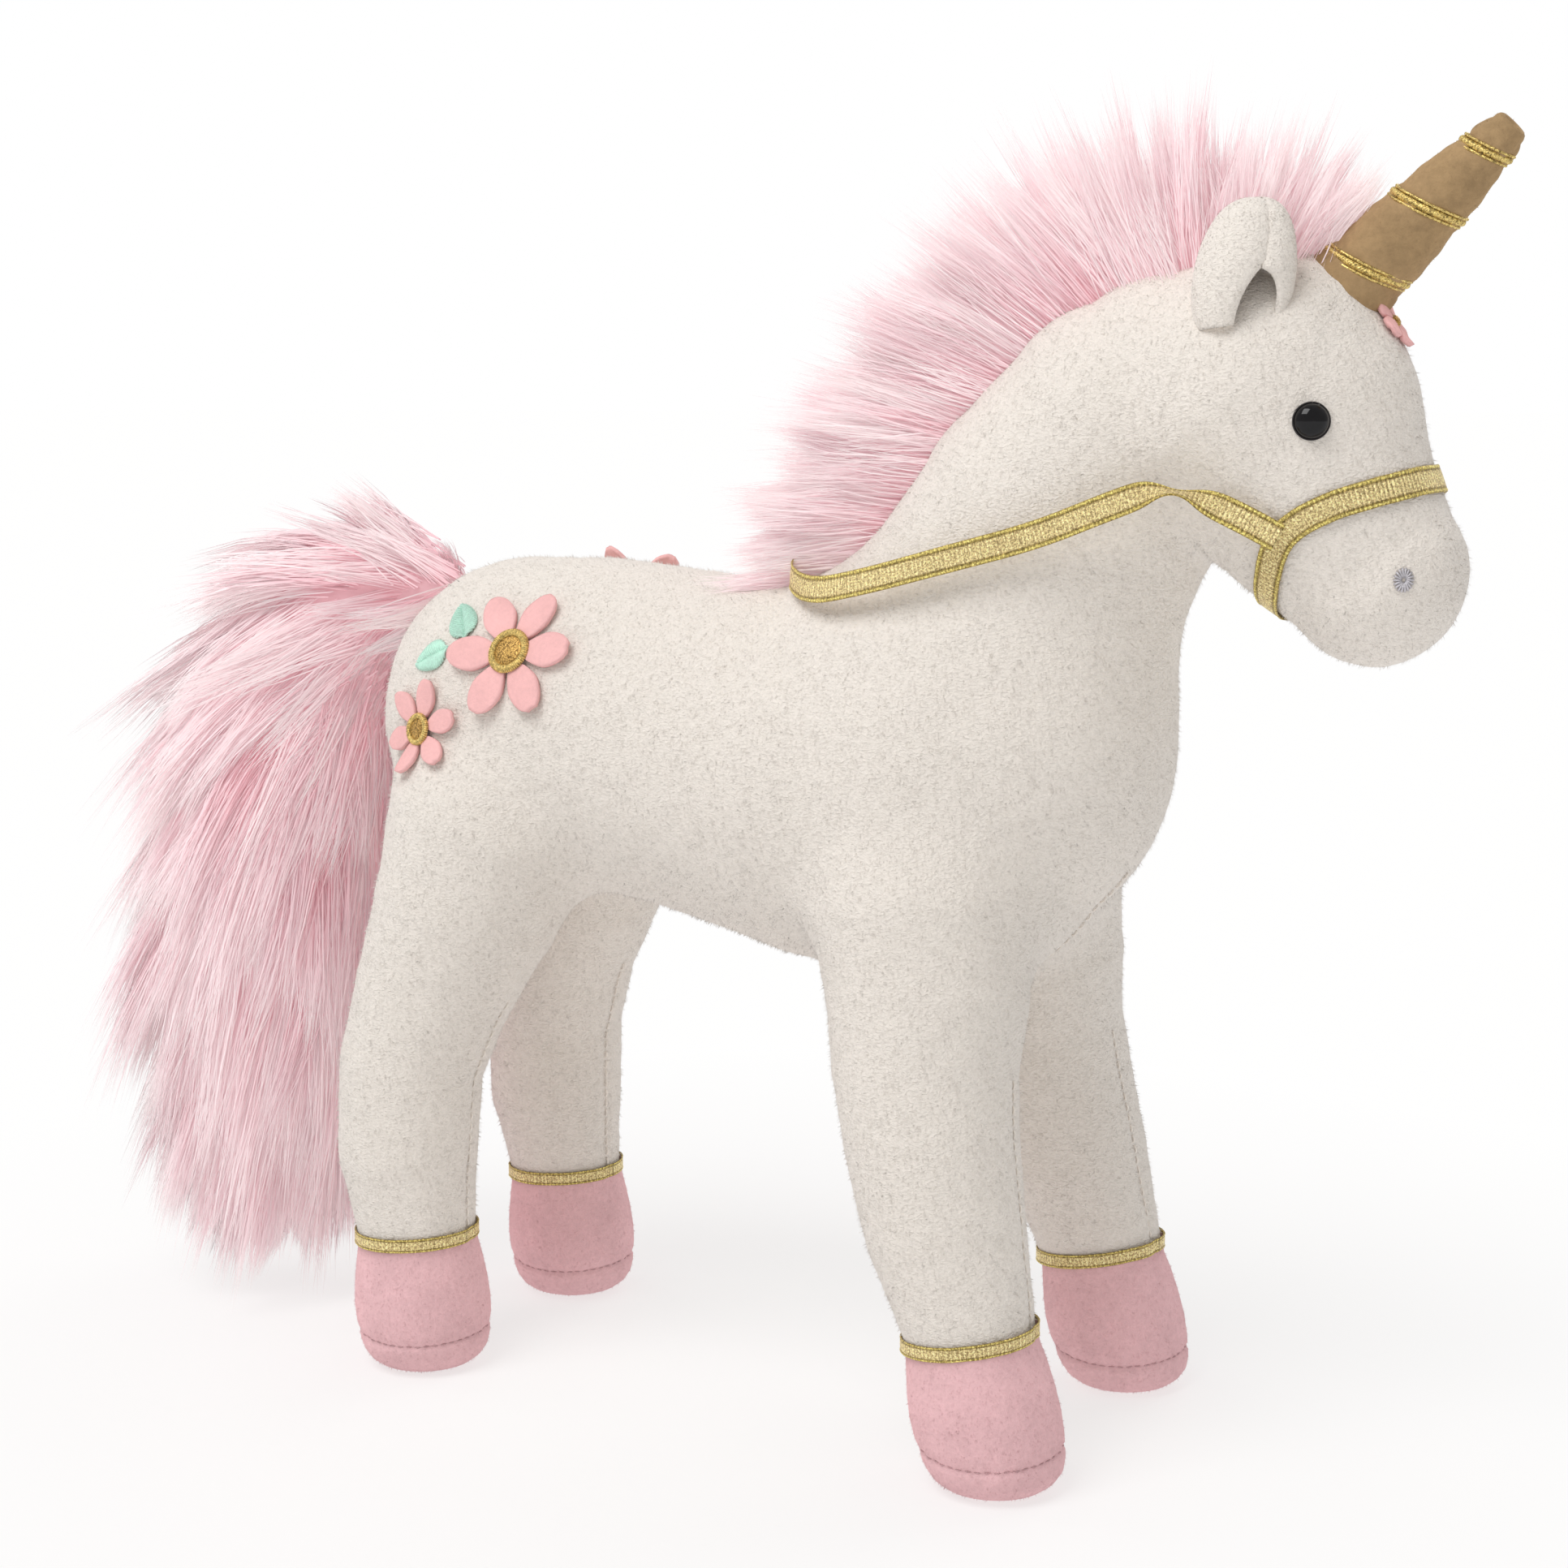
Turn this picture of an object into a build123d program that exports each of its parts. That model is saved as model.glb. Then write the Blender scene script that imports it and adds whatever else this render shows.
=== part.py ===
from build123d import *
from math import cos, radians, sin, tan
import os

# Plush unicorn standing on four padded hooves, in millimetres. X points forward, Y to its left and
# Z up, and the origin is on the floor under the middle of its outline. Each sewn part is a thin pile
# skin over stuffing. Legs, neck, head, ears and tail turn at their sewn joints, so the torso and the
# neck are hollowed there to clear the round end that turns in them.

os.makedirs("parts", exist_ok=True)

# Cloth thicknesses and the gaps between layers
SKIN = 1.8
FILL = 2.3
GAP = 0.4
FELT = 1.6
CLEAR = 0.5

# Torso sections along X: place, height of the centre, half height, half width
TORSO = [
    (-113.0, 189.0, 8.0, 7.0),
    (-107.0, 190.0, 26.0, 22.0),
    (-97.0, 193.0, 39.0, 33.0),
    (-80.0, 190.5, 46.5, 41.0),
    (-46.0, 190.0, 48.0, 45.0),
    (-8.0, 184.0, 49.0, 46.0),
    (30.0, 180.0, 53.0, 46.5),
    (62.0, 177.0, 56.0, 46.0),
    (90.0, 178.0, 54.0, 43.0),
    (112.0, 181.0, 43.0, 35.0),
    (124.0, 184.0, 28.0, 24.0),
    (130.5, 185.0, 9.0, 9.0),
]

# Neck: hinge across its root, lean from upright, and sections by distance along it from the hinge
NECK_X = 88.0
NECK_Z = 218.0
NECK_LEAN = 32.4
NECK_END_R = 50.0
NECK = [
    (-45.0, 9.0, 9.0),
    (-38.0, 25.0, 22.0),
    (-24.0, 40.0, 33.0),
    (-6.0, 47.5, 38.0),
    (14.0, 46.5, 38.0),
    (37.0, 40.0, 36.0),
    (60.0, 36.0, 33.0),
    (78.0, 32.0, 28.0),
    (95.0, 21.0, 18.0),
    (103.0, 8.0, 8.0),
]

# Head: a round skull that narrows to a round muzzle, flattened a little from side to side
SKULL_X = 156.0
SKULL_Z = 281.0
SKULL_R = 38.0
MUZZLE_X = 188.0
MUZZLE_Z = 240.0
MUZZLE_R = 23.0
HEAD_FLAT = 0.9
HEAD_SOCKET_R = 42.5

# Horn: base, lean from upright, length, and the radius at the foot and at the three braid bands
HORN_X = 176.9
HORN_Z = 309.3
HORN_LEAN = 46.3
HORN_L = 59.0
HORN_FOOT_R = 11.5
HORN_TIP_R = 4.4
HORN_SKIN = 1.2
BAND_AT = (10.0, 30.5, 49.0)
BAND_R = (10.2, 8.5, 5.7)
BULGE = 1.5
BRAID = 1.1

# Face
EYE_TURN = 50.0
EYE_DROP = 3.5
EYE_R = 4.7
EYE_RISE = 3.2
SHANK_R = 1.2
SHANK_L = 11.0
WASHER_R = 5.5
WASHER_BORE_R = 1.35
WASHER_T = 1.0
WASHER_DEPTH = 7.0
EYE_POCKET_R = 6.2
NOSTRIL_TURN = 55.0
NOSTRIL_RISE = 0.0
NOSTRIL_L = 3.4
NOSTRIL_W = 1.3
NOSTRIL_T = 0.7
BAND_W = 6.5
BAND_T = 1.0
NOSEBAND_X = 181.0
NOSEBAND_Z = 247.5
NOSEBAND_LEAN = 39.0
BROW_TURN = 10.0
BROW_RISE = 18.0
BROW_R = 7.0

# Mane: half width of its backing strip, and fur sections along the neck and over the poll
MANE_HALF = 13.0
MANE_FROM = 14.0
MANE_TO = 78.0
NECK_MANE = [
    (27.0, 256.0, 58.0, 8.0, 9.0),
    (36.0, 268.0, 55.0, 18.0, 19.0),
    (52.0, 285.0, 50.0, 22.0, 24.0),
    (72.0, 305.0, 44.0, 24.0, 26.0),
    (94.0, 323.0, 38.0, 23.0, 24.0),
    (108.0, 333.0, 30.0, 19.0, 20.0),
    (114.0, 337.0, 25.0, 8.0, 8.0),
]
POLL_X = 146.0
POLL_Z = 336.0
POLL_LENGTH = 26.0
POLL_WIDTH = 11.0
POLL_HEIGHT = 27.0

# Ears: foot, height, widest radius, share of a full turn that the folded ear wraps, hinge side
EAR_X = 159.0
EAR_Y = 23.5
EAR_Z = 297.0
EAR_H = 35.0
EAR_R = 9.5
EAR_FOOT_R = 8.0
EAR_WRAP = 215.0
EAR_WRAP_FROM = 37.5
EAR_CLEAR = 1.6
EAR_T = 1.3

# Legs: side offset, hinge and sections (x, y, z, half length, half width) from hoof to hip
REAR_LEG = [
    (-84.5, 40.0, 38.5, 16.8, 16.8),
    (-85.2, 40.0, 44.5, 17.0, 17.0),
    (-87.5, 39.5, 64.0, 20.5, 20.5),
    (-87.0, 38.0, 89.0, 21.2, 21.2),
    (-82.0, 35.0, 110.0, 22.5, 21.8),
    (-75.0, 31.5, 130.0, 25.0, 21.5),
    (-74.0, 30.5, 146.0, 19.5, 17.0),
    (-74.0, 30.5, 155.0, 7.0, 6.0),
]
FRONT_LEG = [
    (99.2, 44.5, 38.5, 16.8, 16.8),
    (98.3, 44.3, 44.5, 17.0, 17.0),
    (90.1, 42.5, 68.0, 21.5, 21.2),
    (84.5, 40.0, 90.0, 23.0, 22.5),
    (81.0, 36.5, 108.0, 24.5, 23.0),
    (79.5, 32.0, 124.0, 26.0, 22.0),
    (79.5, 31.0, 141.0, 19.5, 17.0),
    (79.5, 31.0, 150.0, 8.0, 7.0),
]
REAR_HIP = (-75.0, 130.0)
FRONT_HIP = (79.5, 124.0)
REAR_HOOF = (-82.0, 40.0)
FRONT_HOOF = (106.3, 45.0)
HIP_SOCKET_R = 28.5
HIP_INNER_Y = 9.5
HIP_OUTER_Y = 75.0
HOOF_R = 19.4
HOOF_TOP_R = 17.4
HOOF_TOP = 38.0
SOLE_SEAM = 11.0
SOLE_FLAT_R = 13.0
SOLE_T = 1.8
POUCH_R = 14.0
RIBBON_W = 4.4
RIBBON_T = 0.9
RIBBON_R = 18.5
RIBBON_Z = 38.8

# Tail: sections (x, z, direction of the hair, half depth, half width) from root to tip
TAIL = [
    (-105.0, 233.0, 180.0, 8.0, 8.0),
    (-122.0, 232.0, 180.0, 14.5, 14.0),
    (-150.0, 224.0, 206.0, 22.0, 21.0),
    (-170.0, 200.0, 233.0, 32.0, 27.0),
    (-180.0, 158.0, 262.0, 38.0, 30.0),
    (-180.8, 110.0, 270.0, 40.0, 32.0),
    (-180.8, 60.0, 270.0, 38.0, 30.0),
    (-180.0, 24.0, 270.0, 27.0, 22.0),
    (-179.0, 6.0, 270.0, 12.0, 10.0),
]
TAIL_PATCH_R = 12.0
TAIL_PATCH_ANGLE = 140.0

# Flowers on each side of the rump: place on the flank, petal ring and centre disc
FLOWER_BIG = (-48.5, 213.0, 27.0)
FLOWER_SMALL = (-77.0, 189.0, 8.0)
BIG_PETAL_R = 6.2
BIG_RING_R = 11.8
BIG_CENTRE_R = 6.0
SMALL_PETAL_R = 4.6
SMALL_RING_R = 8.3
SMALL_CENTRE_R = 4.6
PETALS = 6
PETAL_T = 1.6
PRISM = 60.0
FLANK_Y = 40.0
LEAVES = [(-71.0, 221.0, 125.0), (-79.0, 209.0, 170.0)]
LEAF_L = 10.5
LEAF_W = 5.6

# Reins: one flat ribbon loop in a sloping plane, from the noseband, along the neck and behind the
# withers. Each point of its route is (share of the way from the withers to the noseband, half width)
REINS_FRONT = (170.0, 251.0)
REINS_BACK = (24.5, 239.0)
REINS_HALF_ROUTE = [(1.0, 28.5), (0.62, 42.0), (0.27, 42.6), (0.0, 22.0)]
REINS_W = 7.2
REINS_T = 0.8
ARC_SHARE = 0.45


def write(part, name):
    """Label a finished piece and write it as its own file."""
    part.label = name
    export_step(part, f"parts/{name}.step")


def tilted(x, y, z, angle):
    """Plane at a point, its normal in the XZ plane at an angle from +X, its x axis along +Y."""
    return Plane(origin=(x, y, z), x_dir=(0, 1, 0), z_dir=(cos(radians(angle)), 0, sin(radians(angle))))


def drawn_in(sections, inset):
    """Ellipses (plane, half width, half height) shrunk by inset, with the end ones moved in too."""
    last = len(sections) - 1
    shrunk = []
    for index, (plane, half_width, half_height) in enumerate(sections):
        shift = inset if index == 0 else -inset if index == last else 0.0
        shrunk.append((plane.offset(shift), half_width - inset, half_height - inset))
    return shrunk


def solid_through(sections, inset):
    """Closed smooth solid through elliptical sections."""
    with BuildPart() as solid:
        for plane, half_width, half_height in drawn_in(sections, inset):
            with BuildSketch(plane):
                Ellipse(half_width, half_height)
        loft()
    return solid.part


def hollow_through(sections):
    """Skin of cloth thickness through elliptical sections."""
    with BuildPart() as hollow:
        add(solid_through(sections, 0.0))
        add(solid_through(sections, SKIN), mode=Mode.SUBTRACT)
    return hollow.part


def sewn_pair(name, whole, cutters):
    """Cut the joints out of a skin, then write its right and left halves, sewn along the middle."""
    for side, keep in (("right", Keep.TOP), ("left", Keep.BOTTOM)):
        with BuildPart() as half:
            add(whole)
            for cutter in cutters:
                add(cutter, mode=Mode.SUBTRACT)
            split(bisect_by=Plane.XZ, keep=keep)
        write(half.part, f"{name}_{side}")


def filling(name, whole, cutters):
    """Write the stuffing of a skin, with the same joints cut out of it."""
    with BuildPart() as stuffing:
        add(whole)
        for cutter in cutters:
            add(cutter, mode=Mode.SUBTRACT)
    write(stuffing.part, name)


def cross_roller(x, z, radius, low_y, high_y):
    """Cylinder across the body, about an axis along Y, from one side distance to another."""
    with BuildPart() as roller:
        with BuildSketch(Plane.XZ.offset(-high_y)):
            with Locations((x, z)):
                Circle(radius)
        extrude(amount=high_y - low_y)
    return roller.part


torso_sections = [(tilted(x, 0, z, 0), half_y, half_z) for x, z, half_z, half_y in TORSO]
neck_dir = (sin(radians(NECK_LEAN)), cos(radians(NECK_LEAN)))
neck_sections = [
    (tilted(NECK_X + s * neck_dir[0], 0, NECK_Z + s * neck_dir[1], 90 - NECK_LEAN), half_y, half_depth)
    for s, half_depth, half_y in NECK
]


def skull_ball(radius):
    """Ball about the middle of the skull."""
    with BuildPart() as ball:
        with Locations((SKULL_X, 0, SKULL_Z)):
            Sphere(radius)
    return ball.part


def head_form(inset):
    """Skull and muzzle as one turned form about the line between them, flattened across."""
    run = Vector(MUZZLE_X - SKULL_X, 0, MUZZLE_Z - SKULL_Z)
    length = run.length
    skull = SKULL_R - inset
    muzzle = MUZZLE_R - inset
    lean = (skull - muzzle) / length
    rise = (1 - lean**2) ** 0.5
    face = Plane(origin=(SKULL_X, 0, SKULL_Z), x_dir=run.normalized(), z_dir=(0, 1, 0))
    with BuildPart() as form:
        with BuildSketch(face):
            with BuildLine():
                skull_end = (skull * lean, skull * rise)
                muzzle_start = (length + muzzle * lean, muzzle * rise)
                muzzle_end = (length + muzzle, 0)
                RadiusArc((-skull, 0), skull_end, skull)
                Line(skull_end, muzzle_start)
                RadiusArc(muzzle_start, muzzle_end, muzzle)
                Line(muzzle_end, (-skull, 0))
            make_face()
        revolve(axis=Axis((SKULL_X, 0, SKULL_Z), run))
        scale(by=(1, HEAD_FLAT, 1))
    return form.part


def on_head(ball, turn, rise, lift):
    """Plane on a round of the head at angles from straight ahead and from level, lifted off it."""
    centre_x, centre_z, radius = ball
    level = cos(radians(rise))
    out = Vector(cos(radians(turn)) * level, sin(radians(turn)) * level * HEAD_FLAT, sin(radians(rise)))
    normal = Vector(out.X, out.Y / HEAD_FLAT**2, out.Z).normalized()
    foot = Vector(centre_x, 0, centre_z) + out * radius + normal * lift
    return Plane(origin=foot, x_dir=(-normal.Y, normal.X, 0), z_dir=normal)


def on_skull(turn, rise, lift):
    """Plane on the skull, or on the slope from it to the muzzle, at angles as in on_head."""
    level = cos(radians(rise))
    out = Vector(cos(radians(turn)) * level, sin(radians(turn)) * level, sin(radians(rise)))
    run = Vector(MUZZLE_X - SKULL_X, 0, MUZZLE_Z - SKULL_Z)
    axis = run.normalized()
    slope = (SKULL_R - MUZZLE_R) / run.length
    across = out - axis * out.dot(axis)
    normal = out
    if out.dot(axis) > slope:
        normal = axis * slope + across.normalized() * (1 - slope**2) ** 0.5
    foot = Vector(out.X, out.Y * HEAD_FLAT, out.Z) * (SKULL_R / out.dot(normal))
    normal = Vector(normal.X, normal.Y / HEAD_FLAT, normal.Z).normalized()
    origin = Vector(SKULL_X, 0, SKULL_Z) + foot + normal * lift
    return Plane(origin=origin, x_dir=(-normal.Y, normal.X, 0), z_dir=normal)


def build_torso():
    """Torso skin in two halves and its stuffing."""
    sockets = [cross_roller(NECK_X, NECK_Z, NECK_END_R + CLEAR, -HIP_OUTER_Y, HIP_OUTER_Y)]
    for x, z in (REAR_HIP, FRONT_HIP):
        sockets.append(cross_roller(x, z, HIP_SOCKET_R, HIP_INNER_Y, HIP_OUTER_Y))
        sockets.append(cross_roller(x, z, HIP_SOCKET_R, -HIP_OUTER_Y, -HIP_INNER_Y))
    sewn_pair("torso_skin", hollow_through(torso_sections), sockets)
    filling("torso_stuffing", solid_through(torso_sections, FILL), sockets)


def build_neck():
    """Neck skin in two halves and its stuffing, hollowed in front for the back of the skull."""
    socket = [skull_ball(HEAD_SOCKET_R)]
    sewn_pair("neck_skin", hollow_through(neck_sections), socket)
    filling("neck_stuffing", solid_through(neck_sections, FILL), socket)


def eye_posts(radius, depth):
    """Pair of round posts from the skull's surface inwards, at the eyes."""
    with BuildPart() as posts:
        for side in (-1, 1):
            with BuildSketch(on_skull(side * EYE_TURN, -EYE_DROP, GAP)):
                Circle(radius)
        extrude(amount=-depth)
    return posts.part


def build_head():
    """Head skin in two halves, with holes for the eye shanks, and its stuffing with their pockets."""
    with BuildPart() as hollow:
        add(head_form(0.0))
        add(head_form(SKIN), mode=Mode.SUBTRACT)
    sewn_pair("head_skin", hollow.part, [eye_posts(SHANK_R + 0.1, SHANK_L)])
    filling("head_stuffing", head_form(FILL), [eye_posts(EYE_POCKET_R, SHANK_L + GAP)])


def eye_dome(seat):
    """Cap of a ball standing on the seat plane, as wide and as high as the eye."""
    ball_r = (EYE_R**2 + EYE_RISE**2) / (2 * EYE_RISE)
    with BuildPart(seat.offset(EYE_RISE - ball_r)) as dome:
        Sphere(ball_r)
        split(bisect_by=seat, keep=Keep.TOP)
    return dome.part


def build_eyes():
    """Domed safety eyes on their shanks, and the washers that lock them behind the skin."""
    domes = [eye_dome(on_skull(side * EYE_TURN, -EYE_DROP, GAP)) for side in (-1, 1)]
    with BuildPart() as eyes:
        add(eye_posts(SHANK_R, SHANK_L))
        add(domes)
    write(eyes.part, "eyes")
    with BuildPart() as washers:
        for side in (-1, 1):
            with BuildSketch(on_skull(side * EYE_TURN, -EYE_DROP, GAP - WASHER_DEPTH)):
                Circle(WASHER_R)
                Circle(WASHER_BORE_R, mode=Mode.SUBTRACT)
        extrude(amount=WASHER_T)
    write(washers.part, "eye_washers")


def build_nostrils():
    """Small satin-stitched ovals on both sides of the muzzle."""
    muzzle = (MUZZLE_X, MUZZLE_Z, MUZZLE_R)
    with BuildPart() as nostrils:
        for side in (-1, 1):
            with BuildSketch(on_head(muzzle, side * NOSTRIL_TURN, NOSTRIL_RISE, GAP)):
                Ellipse(NOSTRIL_W, NOSTRIL_L)
        extrude(amount=NOSTRIL_T)
    write(nostrils.part, "nostrils")


def build_noseband():
    """Flat ribbon round the muzzle."""
    with BuildPart() as band:
        add(head_form(-GAP - BAND_T))
        add(head_form(-GAP), mode=Mode.SUBTRACT)
        with BuildSketch(tilted(NOSEBAND_X, 0, NOSEBAND_Z, NOSEBAND_LEAN - 90).offset(-BAND_W / 2)):
            Rectangle(4 * MUZZLE_R, 4 * MUZZLE_R)
        extrude(amount=BAND_W, mode=Mode.INTERSECT)
    write(band.part, "noseband")


def build_brow_flower():
    """Rosette of felt petals and its centre, in front of the horn."""
    seat = on_skull(-BROW_TURN, BROW_RISE, GAP)
    with BuildPart() as petals:
        with BuildSketch(seat):
            with PolarLocations(BROW_R * 0.6, PETALS - 1):
                Circle(BROW_R * 0.42)
            Circle(BROW_R * 0.45)
        extrude(amount=PETAL_T)
    write(petals.part, "brow_flower_petals")
    with BuildPart() as centre:
        with BuildSketch(seat.offset(PETAL_T)):
            Circle(BROW_R * 0.3)
        extrude(amount=PETAL_T / 2)
    write(centre.part, "brow_flower_centre")


def horn_form(inset):
    """Stubby cone whose side bulges between its bands, with a round tip."""
    lean = radians(90 - HORN_LEAN)
    axis = Vector(cos(lean), 0, sin(lean))
    side = Plane(origin=(HORN_X, 0, HORN_Z), x_dir=axis, z_dir=(0, 1, 0))
    corners = [(0.0, HORN_FOOT_R)]
    corners += zip(BAND_AT, BAND_R)
    corners.append((HORN_L - HORN_TIP_R, HORN_TIP_R))
    with BuildPart() as form:
        with BuildSketch(side):
            with BuildLine():
                Polyline((0, HORN_FOOT_R - inset), (-HORN_FOOT_R, HORN_FOOT_R - inset), (-HORN_FOOT_R, 0))
                for (start, r_start), (end, r_end) in zip(corners, corners[1:]):
                    middle = ((start + end) / 2, (r_start + r_end) / 2 + BULGE - inset)
                    ThreePointArc((start, r_start - inset), middle, (end, r_end - inset))
                tip_r = HORN_TIP_R - inset
                tip = (HORN_L - HORN_TIP_R, 0)
                ThreePointArc(
                    (tip[0], tip_r),
                    (tip[0] + tip_r * sin(radians(45)), tip_r * cos(radians(45))),
                    (tip[0] + tip_r, 0),
                )
                Line((tip[0] + tip_r, 0), (-HORN_FOOT_R, 0))
            make_face()
        revolve(axis=Axis(side.origin, axis))
        add(skull_ball(SKULL_R + GAP), mode=Mode.SUBTRACT)
    return form.part


def build_horn():
    """Horn cover over its stuffing, wound with three bands of braid."""
    with BuildPart() as cover:
        add(horn_form(0.0))
        add(horn_form(HORN_SKIN), mode=Mode.SUBTRACT)
    write(cover.part, "horn_cover")
    write(horn_form(HORN_SKIN + GAP / 2), "horn_stuffing")
    lean = radians(90 - HORN_LEAN)
    axis = Vector(cos(lean), 0, sin(lean))
    side = Plane(origin=(HORN_X, 0, HORN_Z), x_dir=axis, z_dir=(0, 1, 0))
    with BuildPart() as braid:
        with BuildSketch(side):
            for place, radius in zip(BAND_AT, BAND_R):
                with Locations((place, radius + BULGE / 2 + BRAID)):
                    Circle(BRAID)
        revolve(axis=Axis(side.origin, axis))
    write(braid.part, "horn_braid")


def poll_post(radius):
    """Upright round post about the line that the head turns on."""
    with BuildPart() as post:
        with BuildSketch(Plane.XY.offset(SKULL_Z - 2 * SKULL_R)):
            with Locations((SKULL_X, 0)):
                Circle(radius)
        extrude(amount=5 * SKULL_R)
    return post.part


def build_neck_mane():
    """Fur fabric strip along the crest of the neck, and the long fur that stands on it."""
    clear_of_head = poll_post(SKULL_R + CLEAR + GAP)
    middle = tilted(NECK_X, 0, NECK_Z, 90 - NECK_LEAN)
    with BuildPart() as backing:
        with BuildSketch(middle.offset(MANE_FROM)):
            with Locations((0, NECK_END_R)):
                Rectangle(2 * MANE_HALF, 1.5 * NECK_END_R)
        extrude(amount=MANE_TO - MANE_FROM)
        add(solid_through(neck_sections, -GAP - FELT), mode=Mode.INTERSECT)
        add(solid_through(neck_sections, -GAP), mode=Mode.SUBTRACT)
        add(clear_of_head, mode=Mode.SUBTRACT)
    write(backing.part, "neck_mane_backing")
    sections = [(tilted(x, 0, z, turn), half_y, half_z) for x, z, turn, half_z, half_y in NECK_MANE]
    with BuildPart() as pile:
        add(solid_through(sections, 0.0))
        add(solid_through(neck_sections, -2 * GAP - FELT), mode=Mode.SUBTRACT)
        add(clear_of_head, mode=Mode.SUBTRACT)
    write(pile.part, "neck_mane_pile")


def build_poll_mane():
    """Fur strip over the top of the head between the ears, and its standing fur."""
    with BuildPart() as backing:
        with BuildSketch(Plane.XY.offset(POLL_Z - POLL_HEIGHT - FELT)):
            with Locations((POLL_X, 0)):
                Rectangle(1.5 * POLL_LENGTH, 2 * POLL_WIDTH)
        extrude(amount=POLL_HEIGHT)
        add(head_form(-GAP - FELT), mode=Mode.INTERSECT)
        add(head_form(-GAP), mode=Mode.SUBTRACT)
    write(backing.part, "poll_mane_backing")
    with BuildPart() as pile:
        with BuildSketch(Plane.XZ):
            with Locations((POLL_X, POLL_Z)):
                Ellipse(POLL_LENGTH, POLL_HEIGHT)
                with Locations((-POLL_LENGTH / 2, 0)):
                    Rectangle(POLL_LENGTH, 2 * POLL_HEIGHT, mode=Mode.SUBTRACT)
        revolve(axis=Axis((POLL_X, 0, 0), (0, 0, 1)))
        scale(by=(1, POLL_WIDTH / POLL_LENGTH, 1))
        add(head_form(-2 * GAP - FELT), mode=Mode.SUBTRACT)
    write(pile.part, "poll_mane_pile")


def ear_sheet(outer, inner, side):
    """Folded leaf-shaped sheet, open forwards and outwards, between two depths below its face."""
    start = radians(EAR_WRAP_FROM)
    with BuildPart() as sheet:
        outwards = (cos(start), sin(start), 0)
        fold = Plane(origin=(EAR_X, -EAR_Y, EAR_Z), x_dir=outwards, z_dir=(sin(start), -cos(start), 0))
        with BuildSketch(fold):
            with BuildLine():
                bulge = EAR_H * 0.36
                ThreePointArc((EAR_FOOT_R - outer, 0), (EAR_R - outer, bulge), (0, EAR_H - outer))
                Line((0, EAR_H - outer), (0, EAR_H - inner))
                ThreePointArc((0, EAR_H - inner), (EAR_R - inner, bulge), (EAR_FOOT_R - inner, 0))
                Line((EAR_FOOT_R - inner, 0), (EAR_FOOT_R - outer, 0))
            make_face()
        revolve(axis=Axis(fold.origin, (0, 0, 1)), revolution_arc=EAR_WRAP)
        add(head_form(-EAR_CLEAR), mode=Mode.SUBTRACT)
        if side > 0:
            mirror(about=Plane.XZ, mode=Mode.REPLACE)
    return sheet.part


def build_ears():
    """Each ear: an outer sheet of pile and a lining."""
    for side, name in ((-1, "right"), (1, "left")):
        write(ear_sheet(0.0, EAR_T, side), f"ear_outer_{name}")
        write(ear_sheet(EAR_T + GAP / 4, 2 * EAR_T, side), f"ear_lining_{name}")


def hoof_cup(hoof_x, hoof_y, ankle_x, ankle_y):
    """Hoof cover: a short round sleeve, open below, that narrows to the ankle."""
    with BuildPart() as cup:
        for inset in (0.0, SKIN):
            low = SOLE_SEAM + GAP - inset
            for share, radius in ((0.0, HOOF_R), (0.5, HOOF_R), (1.0, HOOF_TOP_R)):
                height = low + (HOOF_TOP - inset - low) * share
                place = (hoof_x + (ankle_x - hoof_x) * share, hoof_y + (ankle_y - hoof_y) * share)
                with BuildSketch(Plane.XY.offset(height)):
                    with Locations(place):
                        Circle(radius - inset)
            loft(mode=Mode.SUBTRACT if inset else Mode.ADD)
    return cup.part


def sole(hoof_x, hoof_y):
    """Padded sole: a shallow dish with a flat foot."""
    with BuildPart() as dish:
        with BuildSketch(Plane(origin=(hoof_x, hoof_y, 0), x_dir=(1, 0, 0), z_dir=(0, -1, 0))):
            with BuildLine():
                rim = HOOF_R - GAP / 2
                inner = rim - SOLE_T
                Line((0, 0), (SOLE_FLAT_R, 0))
                ThreePointArc((SOLE_FLAT_R, 0), (rim - SOLE_T * 0.75, SOLE_SEAM * 0.4), (rim, SOLE_SEAM))
                Line((rim, SOLE_SEAM), (inner, SOLE_SEAM))
                Line((inner, SOLE_SEAM), (SOLE_FLAT_R, SOLE_T))
                Line((SOLE_FLAT_R, SOLE_T), (0, SOLE_T))
                Line((0, SOLE_T), (0, 0))
            make_face()
        revolve(axis=Axis((hoof_x, hoof_y, 0), (0, 0, 1)))
    return dish.part


def build_leg(name, sections, hoof, side):
    """One leg: skin, stuffing, hoof cover, sole, ribbon round the ankle and a weighting pouch."""
    rounds = [
        (Plane(origin=(x, side * y, z)), half_x, half_y) for x, y, z, half_x, half_y in sections
    ]
    ankle_x, ankle_y = sections[0][0], side * sections[0][1]
    hoof_x, hoof_y = hoof[0], side * hoof[1]
    write(hollow_through(rounds), f"{name}_skin")
    write(solid_through(rounds, FILL), f"{name}_stuffing")
    write(hoof_cup(hoof_x, hoof_y, ankle_x, ankle_y), f"{name}_hoof_cover")
    write(sole(hoof_x, hoof_y), f"{name}_sole")
    with BuildPart() as ribbon:
        with BuildSketch(Plane.XY.offset(RIBBON_Z)):
            with Locations((ankle_x, ankle_y)):
                Circle(RIBBON_R + RIBBON_T)
                Circle(RIBBON_R, mode=Mode.SUBTRACT)
        extrude(amount=RIBBON_W)
    write(ribbon.part, f"{name}_ribbon")
    with BuildPart() as pouch:
        with Locations(((hoof_x + ankle_x) / 2, (hoof_y + ankle_y) / 2, POUCH_R + SOLE_T + 2 * GAP)):
            Sphere(POUCH_R)
    write(pouch.part, f"{name}_bean_pouch")


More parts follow.
